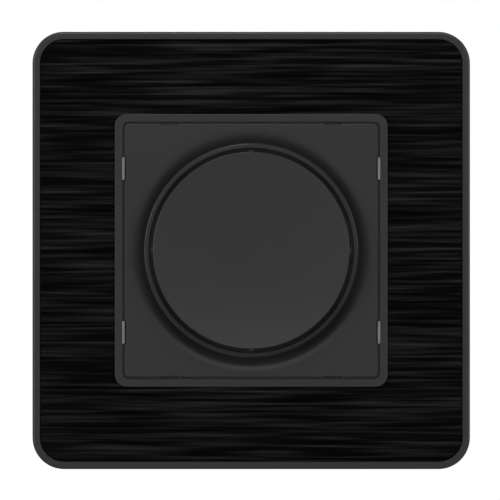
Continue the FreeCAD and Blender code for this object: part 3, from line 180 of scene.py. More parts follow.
@dataclass(frozen=True)
class Finish:
    """What every finish has: its name, main colour in sRGB hex, roughness, and whether it is a metal.

    Its pattern takes the roughness down by smoother and up by rougher, and where it has two colours,
    one turns into the other from tint_from to tint_to.
    """

    name: str
    colour: str
    roughness: float
    metallic: float = 0.0
    smoother: float = 0.05
    rougher: float = 0.05
    relief: float = 0.01
    tint_from: float = 0.3
    tint_to: float = 0.7

    def make(self) -> bpy.types.Material:
        """Build the material.

        Returns:
            The material, with its shader linked to the output.
        """
        material = bpy.data.materials.new(self.name)
        tree = clear_tree(material)
        pattern = self.draw(tree, add_node(tree, "ShaderNodeTexCoord").outputs["Object"])
        bump = add_node(tree, "ShaderNodeBump", {"Distance": self.relief * MM},
                        {"Height": pattern.height})
        links = {"Base Color": pattern.colour, "Normal": bump.outputs["Normal"]}
        if pattern.gloss is not None:
            span = {"To Min": self.roughness - self.smoother, "To Max": self.roughness + self.rougher}
            rough = add_node(tree, "ShaderNodeMapRange", span, {"Value": pattern.gloss})
            links["Roughness"] = rough.outputs["Result"]
        settings = {"Base Color": linear(self.colour), "Roughness": self.roughness,
                    "Metallic": self.metallic}
        shader = add_node(tree, "ShaderNodeBsdfPrincipled", settings | self.extras(), links)
        add_node(tree, "ShaderNodeOutputMaterial", None, {"Surface": shader.outputs["BSDF"]})
        return material

    def extras(self) -> dict[str, float]:
        """Give the shader's values that only this kind of finish sets."""
        return {}

    def draw(self, tree: Tree, place: Socket) -> Pattern:
        """Draw the pattern; each kind of finish has its own."""
        raise NotImplementedError


@dataclass(frozen=True)
class MouldedPlastic(Finish):
    """Thermoplastic from a spark-eroded mould, which gives it a satin sheen and a fine even grain."""

    relief: float = 0.004
    cloud: str = "#262626"
    cloud_size: float = 9.0
    grain_size: float = 0.22

    def draw(self, tree: Tree, place: Socket) -> Pattern:
        """Cloud the colour very slightly and bump the surface with the mould's grain.

        Args:
            tree: the material's node tree.
            place: the coordinates of the piece.

        Returns:
            The pattern.
        """
        clouds = add_node(tree, "ShaderNodeTexNoise", {"Scale": repeats(self.cloud_size), "Detail": 2.0},
                          {"Vector": place})
        stops = ((self.tint_from, self.colour), (self.tint_to, self.cloud))
        tint = add_node(tree, "ShaderNodeValToRGB", {"stops": stops}, {"Fac": clouds.outputs["Fac"]})
        # spark-eroded grit is about 0.05 mm; drawn 0.2 to 0.4 mm wide, so that it shows in a close view
        grit = add_node(tree, "ShaderNodeTexNoise", {"Scale": repeats(self.grain_size), "Detail": 3.0},
                        {"Vector": place})
        return Pattern(tint.outputs["Color"], grit.outputs["Fac"], grit.outputs["Fac"])


@dataclass(frozen=True)
class BrushedAnodised(Finish):
    """Aluminium sheet, belt-brushed along X and anodised black: soft streaks, near black to grey."""

    smoother: float = 0.06
    rougher: float = 0.06
    relief: float = 0.006
    deep: str = "#060606"
    pale: str = "#1d1d1d"
    bright: str = "#2c2c2c"
    deep_below: float = 0.32
    middle_at: float = 0.475
    pale_at: float = 0.61
    bright_above: float = 0.75
    wide_streak: Place = (20.0, 40.0, 0.8)
    fine_streak: Place = (15.0, 40.0, 0.4)
    fine_shift: Place = (3.1, 0.0, 7.7)
    fine_share: float = 0.5

    def draw(self, tree: Tree, place: Socket) -> Pattern:
        """Lay fine streaks over wide ones, in colour, gloss and relief.

        Args:
            tree: the material's node tree.
            place: the coordinates of the piece.

        Returns:
            The pattern.
        """
        # real brush marks are 0.05 to 0.2 mm wide; drawn 0.4 to 0.8 mm wide, as the photo resolves them
        wide_place = add_node(tree, "ShaderNodeMapping", {"Scale": stretch(self.wide_streak)},
                              {"Vector": place})
        wide = add_node(tree, "ShaderNodeTexNoise", {"Scale": 1.0, "Detail": 0.0},
                        {"Vector": wide_place.outputs["Vector"]})
        fine_place = add_node(tree, "ShaderNodeMapping",
                              {"Location": self.fine_shift, "Scale": stretch(self.fine_streak)},
                              {"Vector": place})
        fine = add_node(tree, "ShaderNodeTexNoise", {"Scale": 1.0, "Detail": 1.0},
                        {"Vector": fine_place.outputs["Vector"]})
        both = add_node(tree, "ShaderNodeMix", {"Factor": self.fine_share},
                        {"A": wide.outputs["Fac"], "B": fine.outputs["Fac"]})
        stops = ((self.deep_below, self.deep), (self.middle_at, self.colour),
                 (self.pale_at, self.pale), (self.bright_above, self.bright))
        tint = add_node(tree, "ShaderNodeValToRGB", {"stops": stops}, {"Fac": both.outputs["Result"]})
        return Pattern(tint.outputs["Color"], both.outputs["Result"], fine.outputs["Fac"])


@dataclass(frozen=True)
class SheetMetal(Finish):
    """Bright metal, rolled or drawn and often plated: soft mottling, and fine lines of its working."""

    tint_to: float = 0.72
    smoother: float = 0.08
    rougher: float = 0.08
    relief: float = 0.004
    shade: str = "#8c8c8c"
    lines: Place = (6.0, 0.5, 0.5)
    mottle: float = 4.0

    def draw(self, tree: Tree, place: Socket) -> Pattern:
        """Mottle the colour and draw the working lines in roughness and relief.

        Args:
            tree: the material's node tree.
            place: the coordinates of the piece.

        Returns:
            The pattern.
        """
        spots = add_node(tree, "ShaderNodeTexNoise", {"Scale": repeats(self.mottle), "Detail": 3.0},
                         {"Vector": place})
        stops = ((self.tint_from, self.colour), (self.tint_to, self.shade))
        tint = add_node(tree, "ShaderNodeValToRGB", {"stops": stops}, {"Fac": spots.outputs["Fac"]})
        # rolling lines are 0.02 to 0.1 mm apart; drawn 0.4 to 0.5 mm apart, so that they show
        along = add_node(tree, "ShaderNodeMapping", {"Scale": stretch(self.lines)}, {"Vector": place})
        drawn = add_node(tree, "ShaderNodeTexNoise", {"Scale": 1.0, "Detail": 2.0},
                         {"Vector": along.outputs["Vector"]})
        return Pattern(tint.outputs["Color"], drawn.outputs["Fac"], drawn.outputs["Fac"])


@dataclass(frozen=True)
class TurnedMetal(Finish):
    """Metal cut on a lathe and nickel plated: rings of tool marks that catch the light."""

    tint_to: float = 0.75
    rougher: float = 0.08
    shade: str = "#a09a8a"
    feed: float = 0.3
    waver: float = 0.6
    spot_size: float = 3.0

    def draw(self, tree: Tree, place: Socket) -> Pattern:
        """Draw the tool's rings along the depth, and slightly uneven plating.

        Args:
            tree: the material's node tree.
            place: the coordinates of the piece.

        Returns:
            The pattern.
        """
        # the real feed is 0.05 mm; drawn 0.3 mm wide, so that the rings show
        rings = add_node(tree, "ShaderNodeTexWave", {
            "wave_type": "BANDS", "bands_direction": "Y", "Scale": WAVE_PERIOD * repeats(self.feed),
            "Distortion": self.waver, "Detail": 2.0}, {"Vector": place})
        spots = add_node(tree, "ShaderNodeTexNoise", {"Scale": repeats(self.spot_size), "Detail": 3.0},
                         {"Vector": place})
        stops = ((self.tint_from, self.colour), (self.tint_to, self.shade))
        tint = add_node(tree, "ShaderNodeValToRGB", {"stops": stops}, {"Fac": spots.outputs["Fac"]})
        return Pattern(tint.outputs["Color"], rings.outputs["Fac"], rings.outputs["Fac"])


@dataclass(frozen=True)
class BoardLaminate(Finish):
    """Glass-epoxy laminate under green solder resist: wide copper lands show through it, lighter."""

    tint_from: float = 0.2
    tint_to: float = 0.8
    relief: float = 0.05
    land: str = "#34703f"
    land_pitch: float = 5.2
    land_wander: float = 0.35
    gap_from: float = 0.03
    gap_to: float = 0.06
    coat: float = 0.4

    def extras(self) -> dict[str, float]:
        """Give the gloss of the solder resist."""
        return {"Coat Weight": self.coat}

    def draw(self, tree: Tree, place: Socket) -> Pattern:
        """Draw the lands under the lacquer as cells with gaps between, with a thin relief.

        Args:
            tree: the material's node tree.
            place: the coordinates of the piece.

        Returns:
            The pattern.
        """
        flat = add_node(tree, "ShaderNodeMapping", {"Scale": WITHOUT_DEPTH}, {"Vector": place})
        cells = add_node(tree, "ShaderNodeTexVoronoi", {
            "feature": "DISTANCE_TO_EDGE", "Scale": repeats(self.land_pitch),
            "Randomness": self.land_wander}, {"Vector": flat.outputs["Vector"]})
        lands = add_node(tree, "ShaderNodeMapRange", {"From Min": self.gap_from, "From Max": self.gap_to},
                         {"Value": cells.outputs["Distance"]})
        stops = ((self.tint_from, self.colour), (self.tint_to, self.land))
        tint = add_node(tree, "ShaderNodeValToRGB", {"stops": stops}, {"Fac": lands.outputs["Result"]})
        return Pattern(tint.outputs["Color"], lands.outputs["Result"])


@dataclass(frozen=True)
class CarbonTrack(Finish):
    """Brown phenolic laminate with a printed carbon arc, matt black on a faintly speckled sheet."""

    tint_from: float = 0.35
    speck: str = "#6f5334"
    speck_size: float = 0.5
    carbon: str = "#141312"
    inner: float = 4.2
    outer: float = 6.6

    def draw(self, tree: Tree, place: Socket) -> Pattern:
        """Print the carbon between two radii round the spindle.

        Args:
            tree: the material's node tree.
            place: the coordinates of the piece.

        Returns:
            The pattern.
        """
        flat = add_node(tree, "ShaderNodeVectorMath", {"operation": "MULTIPLY", 1: WITHOUT_DEPTH},
                        {0: place})
        reach = add_node(tree, "ShaderNodeVectorMath", {"operation": "LENGTH"},
                         {0: flat.outputs["Vector"]})
        # the ramp covers twice the outer radius, so that the ring ends at half of it
        share = add_node(tree, "ShaderNodeMapRange", {"From Max": self.outer * 2 * MM},
                         {"Value": reach.outputs["Value"]})
        ring_stops = ((0.0, BLACK), (self.inner / self.outer / 2, WHITE), (0.5, BLACK))
        ring = add_node(tree, "ShaderNodeValToRGB", {"interpolation": "CONSTANT", "stops": ring_stops},
                        {"Fac": share.outputs["Result"]})
        speckle = add_node(tree, "ShaderNodeTexNoise", {"Scale": repeats(self.speck_size), "Detail": 3.0},
                           {"Vector": place})
        stops = ((self.tint_from, self.colour), (self.tint_to, self.speck))
        sheet = add_node(tree, "ShaderNodeValToRGB", {"stops": stops}, {"Fac": speckle.outputs["Fac"]})
        # a mix of colours takes them in at sockets 6 and 7 and gives the mixed one at output 2
        printed = add_node(tree, "ShaderNodeMix", {"data_type": "RGBA", 7: linear(self.carbon)},
                           {0: ring.outputs["Color"], 6: sheet.outputs["Color"]})
        return Pattern(printed.outputs[2], speckle.outputs["Fac"])


@dataclass(frozen=True)
class SinteredFerrite(Finish):
    """Pressed and fired iron oxide: a dry, dark grey body with pores and a faint metallic glint."""

    tint_from: float = 0.38
    tint_to: float = 0.55
    relief: float = 0.03
    pore: str = "#141416"
    pore_size: float = 0.35

    def draw(self, tree: Tree, place: Socket) -> Pattern:
        """Speckle the grey with dark pores that are also pits.

        Args:
            tree: the material's node tree.
            place: the coordinates of the piece.

        Returns:
            The pattern.
        """
        grit = add_node(tree, "ShaderNodeTexNoise", {"Scale": repeats(self.pore_size), "Detail": 4.0},
                        {"Vector": place})
        stops = ((self.tint_from, self.pore), (self.tint_to, self.colour))
        tint = add_node(tree, "ShaderNodeValToRGB", {"stops": stops}, {"Fac": grit.outputs["Fac"]})
        return Pattern(tint.outputs["Color"], grit.outputs["Fac"])


@dataclass(frozen=True)
class EnamelledCopper(Finish):
    """Copper wire under clear baked enamel: deep orange-red metal with a glassy coat."""

    tint_from: float = 0.35
    shade: str = "#8a3d1c"
    shade_size: float = 1.2
    coat: float = 0.6
    coat_roughness: float = 0.12

    def extras(self) -> dict[str, float]:
        """Give the enamel's gloss."""
        return {"Coat Weight": self.coat, "Coat Roughness": self.coat_roughness}

    def draw(self, tree: Tree, place: Socket) -> Pattern:
        """Vary the copper softly.

        Args:
            tree: the material's node tree.
            place: the coordinates of the piece.

        Returns:
            The pattern.
        """
        spots = add_node(tree, "ShaderNodeTexNoise", {"Scale": repeats(self.shade_size), "Detail": 2.0},
                         {"Vector": place})
        stops = ((self.tint_from, self.colour), (self.tint_to, self.shade))
        tint = add_node(tree, "ShaderNodeValToRGB", {"stops": stops}, {"Fac": spots.outputs["Fac"]})
        return Pattern(tint.outputs["Color"], spots.outputs["Fac"])


@dataclass(frozen=True)
class PottedCase(Finish):
    """Polyester case filled with yellow epoxy: glossy, with slightly sunken and cloudy faces."""

    tint_to: float = 0.75
    smoother: float = 0.06
    rougher: float = 0.1
    relief: float = 0.05
    cloud: str = "#b8912c"
    cloud_size: float = 3.5

    def draw(self, tree: Tree, place: Socket) -> Pattern:
        """Cloud the yellow and let the faces sink softly.

        Args:
            tree: the material's node tree.
            place: the coordinates of the piece.

        Returns:
            The pattern.
        """
        clouds = add_node(tree, "ShaderNodeTexNoise", {"Scale": repeats(self.cloud_size), "Detail": 3.0},
                          {"Vector": place})
        stops = ((self.tint_from, self.colour), (self.tint_to, self.cloud))
        tint = add_node(tree, "ShaderNodeValToRGB", {"stops": stops}, {"Fac": clouds.outputs["Fac"]})
        return Pattern(tint.outputs["Color"], clouds.outputs["Fac"], clouds.outputs["Fac"])


@dataclass(frozen=True)
class BandedLacquer(Finish):
    """Carbon film resistor: beige cement lacquer with four printed rings.

    Each ring goes from one share of the body's length to another.
    """

    rougher: float = 0.1
    relief: float = 0.04
    length: float = 6.0
    lump_size: float = 1.2
    rings: tuple[tuple[float, float, str], ...] = (
        (0.14, 0.24, "#5a3016"), (0.36, 0.45, "#151515"), (0.55, 0.64, "#b4531b"), (0.8, 0.89, "#a8842c"))

    def draw(self, tree: Tree, place: Socket) -> Pattern:
        """Print the rings at their places along X.

        Args:
            tree: the material's node tree.
            place: the coordinates of the piece.

        Returns:
            The pattern.
        """
        along = add_node(tree, "ShaderNodeSeparateXYZ", None, {"Vector": place})
        share = add_node(tree, "ShaderNodeMapRange",
                         {"From Min": -self.length / 2 * MM, "From Max": self.length / 2 * MM},
                         {"Value": along.outputs["X"]})
        stops = [(0.0, self.colour)]
        for start, end, paint in self.rings:
            stops += [(start, paint), (end, self.colour)]
        tint = add_node(tree, "ShaderNodeValToRGB", {"interpolation": "CONSTANT", "stops": stops},
                        {"Fac": share.outputs["Result"]})
        lumps = add_node(tree, "ShaderNodeTexNoise", {"Scale": repeats(self.lump_size), "Detail": 2.0},
                         {"Vector": place})
        return Pattern(tint.outputs["Color"], lumps.outputs["Fac"], lumps.outputs["Fac"])


@dataclass(frozen=True)
class DrawnGlass(Finish):
    """Soda-lime glass tube: clear and smooth, with faint lengthwise draw lines."""

    relief: float = 0.004
    tinge: str = "#f4faf8"
    lines: Place = (12.0, 0.6, 0.6)
    refraction: float = 1.52

    def extras(self) -> dict[str, float]:
        """Let light through, bent as glass bends it."""
        return {"Transmission Weight": 1.0, "IOR": self.refraction}

    def draw(self, tree: Tree, place: Socket) -> Pattern:
        """Draw the lines.

        Args:
            tree: the material's node tree.
            place: the coordinates of the piece.

        Returns:
            The pattern.
        """
        along = add_node(tree, "ShaderNodeMapping", {"Scale": stretch(self.lines)}, {"Vector": place})
        drawn = add_node(tree, "ShaderNodeTexNoise", {"Scale": 1.0, "Detail": 1.0},
                         {"Vector": along.outputs["Vector"]})
        stops = ((self.tint_from, self.colour), (self.tint_to, self.tinge))
        tint = add_node(tree, "ShaderNodeValToRGB", {"stops": stops}, {"Fac": drawn.outputs["Fac"]})
        return Pattern(tint.outputs["Color"], drawn.outputs["Fac"])


class Finishes:
    """The finish of every material slot of the record, each made once."""

    def __init__(self) -> None:
        """Make all the materials."""
        slots: dict[str, Finish] = {
            # satin black-grey that stays even and takes a soft shine where it tilts towards the light
            "anthracite_plastic": MouldedPlastic("anthracite_abs_moulded_satin", "#242424", 0.3,
                                                 cloud="#262626"),
            # nearly black metal, in which the brush marks show as long grey streaks
            "black_anodised": BrushedAnodised("aluminium_brushed_anodised_black", "#0e0e0e", 0.42, 1.0),
            # grey steel with a dull shine, tempered and not plated
            "spring_steel": SheetMetal("spring_steel_rolled_tempered", "#949494", 0.36, 1.0,
                                       shade="#7c7c7c", lines=(0.4, 0.4, 3.0)),
            # cool pale metal with cloudy patches
            "zinc_plated": SheetMetal("steel_zinc_plated_passivated", "#c9cccf", 0.36, 1.0,
                                      shade="#9aa0a6", lines=(0.5, 0.5, 5.0)),
            # warm silver with fine shining rings
            "nickel_brass": TurnedMetal("brass_turned_nickel_plated", "#cfc9bb", 0.28, 1.0),
            # yellow metal, a shade browner in patches
            "brass": SheetMetal("brass_pressed", "#d8b56a", 0.32, 1.0, shade="#b08a40",
                                lines=(5.0, 0.5, 0.5)),
            # matt light grey with a coarser grain than the cover's
            "housing_plastic": MouldedPlastic("polyamide_moulded_light_grey", "#bdbdb9", 0.5,
                                              cloud="#c8c8c4", grain_size=0.4, relief=0.008),
            # hard black plastic with a low shine
            "black_plastic": MouldedPlastic("phenolic_moulded_black", "#1b1b1b", 0.4, cloud="#222222"),
            # dull brown sheet with a black ring
            "track_laminate": CarbonTrack("phenolic_laminate_carbon_printed", "#8a6a45", 0.55),
            # glossy green, a shade paler over the copper
            "board_laminate": BoardLaminate("glass_epoxy_laminate_solder_resist", "#1f5a33", 0.35),
            # dry dark grey with specks
            "ferrite": SinteredFerrite("ferrite_pressed_sintered", "#37383b", 0.6, 0.3),
            # orange-red metal under a clear coat
            "copper_wire": EnamelledCopper("copper_wire_enamelled", "#c4622e", 0.3, 1.0),
            # shiny yellow with soft clouds
            "film_capacitor": PottedCase("polyester_case_potted_yellow", "#d8ac34", 0.3),
            # clear and faintly green
            "glass_tube": DrawnGlass("soda_lime_glass_drawn", "#e8f2ef", 0.05),
            # beige with coloured rings
            "resistor_paint": BandedLacquer("cement_lacquer_banded", "#cdb88c", 0.35),
            # pale metal with lines along the bend
            "aluminium": SheetMetal("aluminium_sheet_bent", "#d0d2d4", 0.34, 1.0, shade="#b4b7ba",
                                    lines=(0.5, 5.0, 0.5)),
        }
        self.made = {slot: finish.make() for slot, finish in slots.items()}

    def dress_nodes(self) -> None:
        """Give every CAD node the finish of its slot in the record."""
        for row in frame["record"]["subparts"]:
            node = frame["nodes"][row["node"]]
            for material_slot in node.material_slots:
                material_slot.material = self.made[row["material_slot"]]
            LOG.info("dressed %s", row["node"])

    def hand_over(self, piece: bpy.types.Object, slot: str, body: Body) -> None:
        """Give a finished piece the material of its slot and its body, and report it.

        Args:
            piece: the finished piece.
            slot: the record's slot that it takes its finish from.
            body: the body that it rides on.
        """
        piece.data.name = piece.name
        piece.data.materials.clear()
        piece.data.materials.append(self.made[slot])
        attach(piece, body.value)
        LOG.info("made %s, %d faces", piece.name, len(piece.data.polygons))


def select_only(piece: bpy.types.Object) -> None:
    """Select one piece and make it active.

    Args:
        piece: the piece.
    """
    bpy.ops.object.select_all(action="DESELECT")
    piece.select_set(True)
    bpy.context.view_layer.objects.active = piece


def use_modifier(piece: bpy.types.Object, kind: str, settings: dict) -> None:
    """Add a modifier to a piece and apply it.

    Args:
        piece: the piece.
        kind: the modifier's type.
        settings: the modifier's settings.
    """
    select_only(piece)
    modifier = piece.modifiers.new(kind, kind)
    for key, setting in settings.items():
        setattr(modifier, key, setting)
    bpy.ops.object.modifier_apply(modifier=modifier.name)


def mend_shell(piece: bpy.types.Object) -> None:
    """Close the open ends of a mesh, merge its doubles and turn its faces outwards.

    Args:
        piece: the piece.
    """
    select_only(piece)
    bpy.ops.object.mode_set(mode="EDIT")
    bpy.ops.mesh.select_all(action="SELECT")
    bpy.ops.mesh.remove_doubles(threshold=MERGE_DISTANCE)
    bpy.ops.mesh.fill_holes(sides=0)
    bpy.ops.mesh.normals_make_consistent(inside=False)
    bpy.ops.object.mode_set(mode="OBJECT")


def draw_rings(name: str, rings: Rings, sides: int = ROUND_SIDES) -> bpy.types.Object:
    """Draw a round solid up the Z axis by extruding a disc from ring to ring.

    Args:
        name: the piece's name.
        rings: height and radius of each ring, in millimetres, from the lowest up.
        sides: corners of each ring.

    Returns:
        The closed solid.
    """
    bpy.ops.object.select_all(action="DESELECT")
    height, radius = rings[0]
    bpy.ops.mesh.primitive_circle_add(vertices=sides, radius=radius * MM, fill_type="NGON",
                                      location=(0.0, 0.0, height * MM))
    piece = bpy.context.active_object
    piece.name = name
    bpy.ops.object.transform_apply(location=True, rotation=True, scale=True)
    bpy.ops.object.mode_set(mode="EDIT")
    bpy.ops.mesh.select_all(action="SELECT")
    for next_height, next_radius in rings[1:]:
        rise = (next_height - height) * MM
        share = next_radius / radius
        bpy.ops.mesh.extrude_region_move(TRANSFORM_OT_translate={"value": (0.0, 0.0, rise)})
        bpy.ops.transform.resize(value=(share, share, 1.0), center_override=(0.0, 0.0, next_height * MM))
        height, radius = next_height, next_radius
    bpy.ops.object.mode_set(mode="OBJECT")
    mend_shell(piece)
    return piece


def wind(name: str, radius: float, wire: float, pitch: float, turns: int, start: float, corners: int = 8,
         steps: int = 24) -> bpy.types.Object:
    """Wind a wire or a thread's ridge up the Z axis.

    Args:
        name: the piece's name.
        radius: from the axis to the middle of the wire, in millimetres.
        wire: the wire's radius, in millimetres.
        pitch: rise of one turn, in millimetres.
        turns: how many turns.
        start: height of the first turn, in millimetres.
        corners: corners of the wire's section.
        steps: pieces that one turn is made of.

    Returns:
        The closed winding.
    """
    bpy.ops.object.select_all(action="DESELECT")
    bpy.ops.mesh.primitive_circle_add(vertices=corners, radius=wire * MM,
                                      location=(radius * MM, 0.0, start * MM),
                                      rotation=(QUARTER_TURN, 0.0, 0.0))
    piece = bpy.context.active_object
    piece.name = name
    bpy.ops.object.transform_apply(location=True, rotation=True, scale=True)
    use_modifier(piece, "SCREW", {"axis": "Z", "angle": FULL_TURN, "screw_offset": pitch * MM,
                                  "iterations": turns, "steps": steps, "render_steps": steps})
    mend_shell(piece)
    return piece


def draw_tube(name: str, radius: float, wall: float, length: float,
              edge: float = 0.1) -> bpy.types.Object:
    """Draw a hollow round tube along Z with its middle at the origin.

    Args:
        name: the piece's name.
        radius: outer radius, in millimetres.
        wall: thickness of its wall, in millimetres.
        length: its length, in millimetres.
        edge: most that its ends are rounded by, in millimetres.

    Returns:
        The closed tube with rounded ends.
    """
    bpy.ops.object.select_all(action="DESELECT")
    bpy.ops.mesh.primitive_cylinder_add(vertices=ROUND_SIDES, radius=radius * MM, depth=length * MM,
                                        end_fill_type="NOTHING")
    piece = bpy.context.active_object
    piece.name = name
    # an offset of -1 grows the wall inwards
    use_modifier(piece, "SOLIDIFY", {"thickness": wall * MM, "offset": -1.0})
    use_modifier(piece, "BEVEL", {"width": min(wall / 4, edge) * MM, "segments": 2,
                                  "limit_method": "ANGLE", "angle_limit": BEVEL_ANGLE})
    return piece


def copy_piece(piece: bpy.types.Object, turn: Place = NOWHERE,
               shift: Place = NOWHERE) -> bpy.types.Object:
    """Copy a piece with its own mesh, turned and moved.

    Args:
        piece: the piece.
        turn: angles about X, Y and Z.
        shift: how far the copy moves, in millimetres.

    Returns:
        The copy, with its turn and its move in its mesh.
    """
    twin = piece.copy()
    twin.data = piece.data.copy()
    bpy.context.scene.collection.objects.link(twin)
    twin.rotation_euler = turn
    twin.location = tuple(step * MM for step in shift)
    select_only(twin)
    bpy.ops.object.transform_apply(location=True, rotation=True, scale=True)
    return twin


def join(name: str, pieces: list[bpy.types.Object]) -> bpy.types.Object:
    """Join pieces into one.

    Args:
        name: name of the joined piece.
        pieces: the pieces; the first one takes in the others.

    Returns:
        The joined piece.
    """
    select_only(pieces[0])
    for piece in pieces[1:]:
        piece.select_set(True)
    if len(pieces) > 1:
        bpy.ops.object.join()
    pieces[0].name = name
    return pieces[0]


def settle(piece: bpy.types.Object, axis: Axis, place: Place) -> None:
    """Turn a piece from Z onto its axis, move it, put both into its mesh and smooth its round faces.

    Args:
        piece: the piece, drawn along Z.
        axis: the way that it points.
        place: where its origin goes, in metres.
    """
    select_only(piece)
    piece.rotation_euler = axis.value
    piece.location = place
    bpy.ops.object.transform_apply(location=True, rotation=True, scale=True)
    bpy.ops.object.shade_smooth_by_angle(angle=SMOOTH_ANGLE)


def measure_lying(node: str) -> tuple[Place, float, float]:
    """Measure a round CAD node that lies along X.

    Args:
        node: the node's name.

    Returns:
        Its middle in metres, and its radius and half its length in millimetres.
    """
    low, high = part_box(node)
    return tuple((low + high) / 2), (high.y - low.y) / 2 / MM, (high.x - low.x) / 2 / MM


@dataclass
class SlottedScrew:
    """Cheese-head screw: slotted head, plain neck, rolled thread and pointed end."""

    finishes: Finishes
    node: str
    body: Body
    axis: Axis
    head_radius: float = 2.4
    head_height: float = 2.0
    slot_width: float = 0.8
    edge: float = 0.25
    crest: float = 1.5
    root: float = 1.22
    pitch: float = 0.5
    ridge_corners: int = 4
    neck: float = 4.5
    point: float = 0.6
    point_step: float = 0.45
    # the shank starts this far inside the head, and the head's rear edge is cut back by as much
    seat: float = 0.1
    # the neck is this much thinner than the thread's crest, and narrows to its root over the run-out
    neck_play: float = 0.03
    run_out: float = 0.3

    def build(self) -> None:
        """Draw the screw where its CAD node is and let it stand for that node."""
        low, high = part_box(self.node)
        length = (high.y - low.y) / MM
        shank = draw_rings("shank", (
            (self.head_height - self.seat, self.crest - self.neck_play),
            (self.neck, self.crest - self.neck_play),
            (self.neck + self.run_out, self.root), (length - self.point, self.root),
            (length, self.root - self.point_step)))
        # one turn less than fits, so that the thread ends before the point
        turns = int((length - self.neck - self.point) / self.pitch) - 1
        thread = wind("thread", self.crest - self.pitch / 2, self.pitch / 2, self.pitch, turns,
                      self.neck + self.pitch, self.ridge_corners)
        screw = join(self.node + "_threaded", [self.draw_head(), shank, thread])
        middle = (low + high) / 2
        face = low.y if self.axis is Axis.REARWARD else high.y
        settle(screw, self.axis, (middle.x, face, middle.z))
        self.finishes.hand_over(screw, "zinc_plated", self.body)
        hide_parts(self.node)

    def draw_head(self) -> bpy.types.Object:
        """Draw the rounded head and cut its slot.

        Returns:
            The head, with its face at the origin.
        """
        inset = self.edge * EDGE_SHARE
        head = draw_rings("head", (
            (0.0, self.head_radius - self.edge), (inset, self.head_radius - inset),
            (self.edge, self.head_radius), (self.head_height - self.seat, self.head_radius),
            (self.head_height, self.head_radius - self.seat)))
        bpy.ops.object.select_all(action="DESELECT")
        bpy.ops.mesh.primitive_cube_add(size=1.0, location=NOWHERE)
        cutter = bpy.context.active_object
        # the cutter is longer than the head is wide, and half of it stands before the head's face
        cutter.scale = (self.slot_width * MM, self.head_radius * 3 * MM, self.head_height * MM)
        bpy.ops.object.transform_apply(location=True, rotation=True, scale=True)
        use_modifier(head, "BOOLEAN", {"object": cutter, "operation": "DIFFERENCE", "solver": "EXACT"})
        bpy.data.objects.remove(cutter)
        return head


@dataclass
class ChokeWinding:
    """The interference choke's copper: a wound sleeve with its outer layer of turns standing out."""

    finishes: Finishes
    node: str = "choke_winding"
    wire: float = 0.3
    pitch: float = 0.62
    rod: float = 2.1

    def build(self) -> None:
        """Wind the outer layer over the inner ones, where the CAD node is."""
        middle, radius, half = measure_lying(self.node)
        turns = int((half - self.wire) * 2 / self.pitch)
        inner = draw_tube("inner_layers", radius - self.wire, radius - self.wire - self.rod, half * 2)
        outer = wind("outer_layer", radius - self.wire, self.wire, self.pitch, turns,
                     -turns * self.pitch / 2)
        winding = join("choke_winding_turns", [inner, outer])
        settle(winding, Axis.ACROSS, middle)
        self.finishes.hand_over(winding, "copper_wire", Body.BASE)
        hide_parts(self.node)


@dataclass
class GlassFuse:
    """Fine-wire fuse: glass tube, two pressed caps and the wire coiled between them."""

    finishes: Finishes
    node: str = "fuse"
    cap_length: float = 5.4
    cap_step: float = 0.15
    cap_edge: float = 0.35
    glass_wall: float = 0.5
    wire: float = 0.09
    wire_corners: int = 6
    coil: float = 0.3
    coil_pitch: float = 0.7
    coil_steps: int = 16

    def build(self) -> None:
        """Draw the caps, the glass and the wire, where the CAD node is."""
        middle, radius, half = measure_lying(self.node)
        inset = self.cap_edge * EDGE_SHARE
        cap = draw_rings("cap", (
            (half - self.cap_length, radius), (half - self.cap_edge, radius),
            (half - inset, radius - inset), (half, radius - self.cap_edge)))
        caps = join("fuse_caps", [cap, copy_piece(cap, (math.pi, 0.0, 0.0))])
        settle(caps, Axis.ACROSS, middle)
        self.finishes.hand_over(caps, "nickel_brass", Body.BASE)
        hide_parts(self.node)
        inside = half - self.cap_length
        glass = draw_tube("fuse_glass", radius - self.cap_step, self.glass_wall, inside * 2)
        settle(glass, Axis.ACROSS, middle)
        self.finishes.hand_over(glass, "glass_tube", Body.BASE)
        turns = int(inside * 2 / self.coil_pitch)
        wire = wind("fuse_wire", self.coil, self.wire, self.coil_pitch, turns,
                    -turns * self.coil_pitch / 2, self.wire_corners, self.coil_steps)
        settle(wire, Axis.ACROSS, middle)
        self.finishes.hand_over(wire, "nickel_brass", Body.BASE)


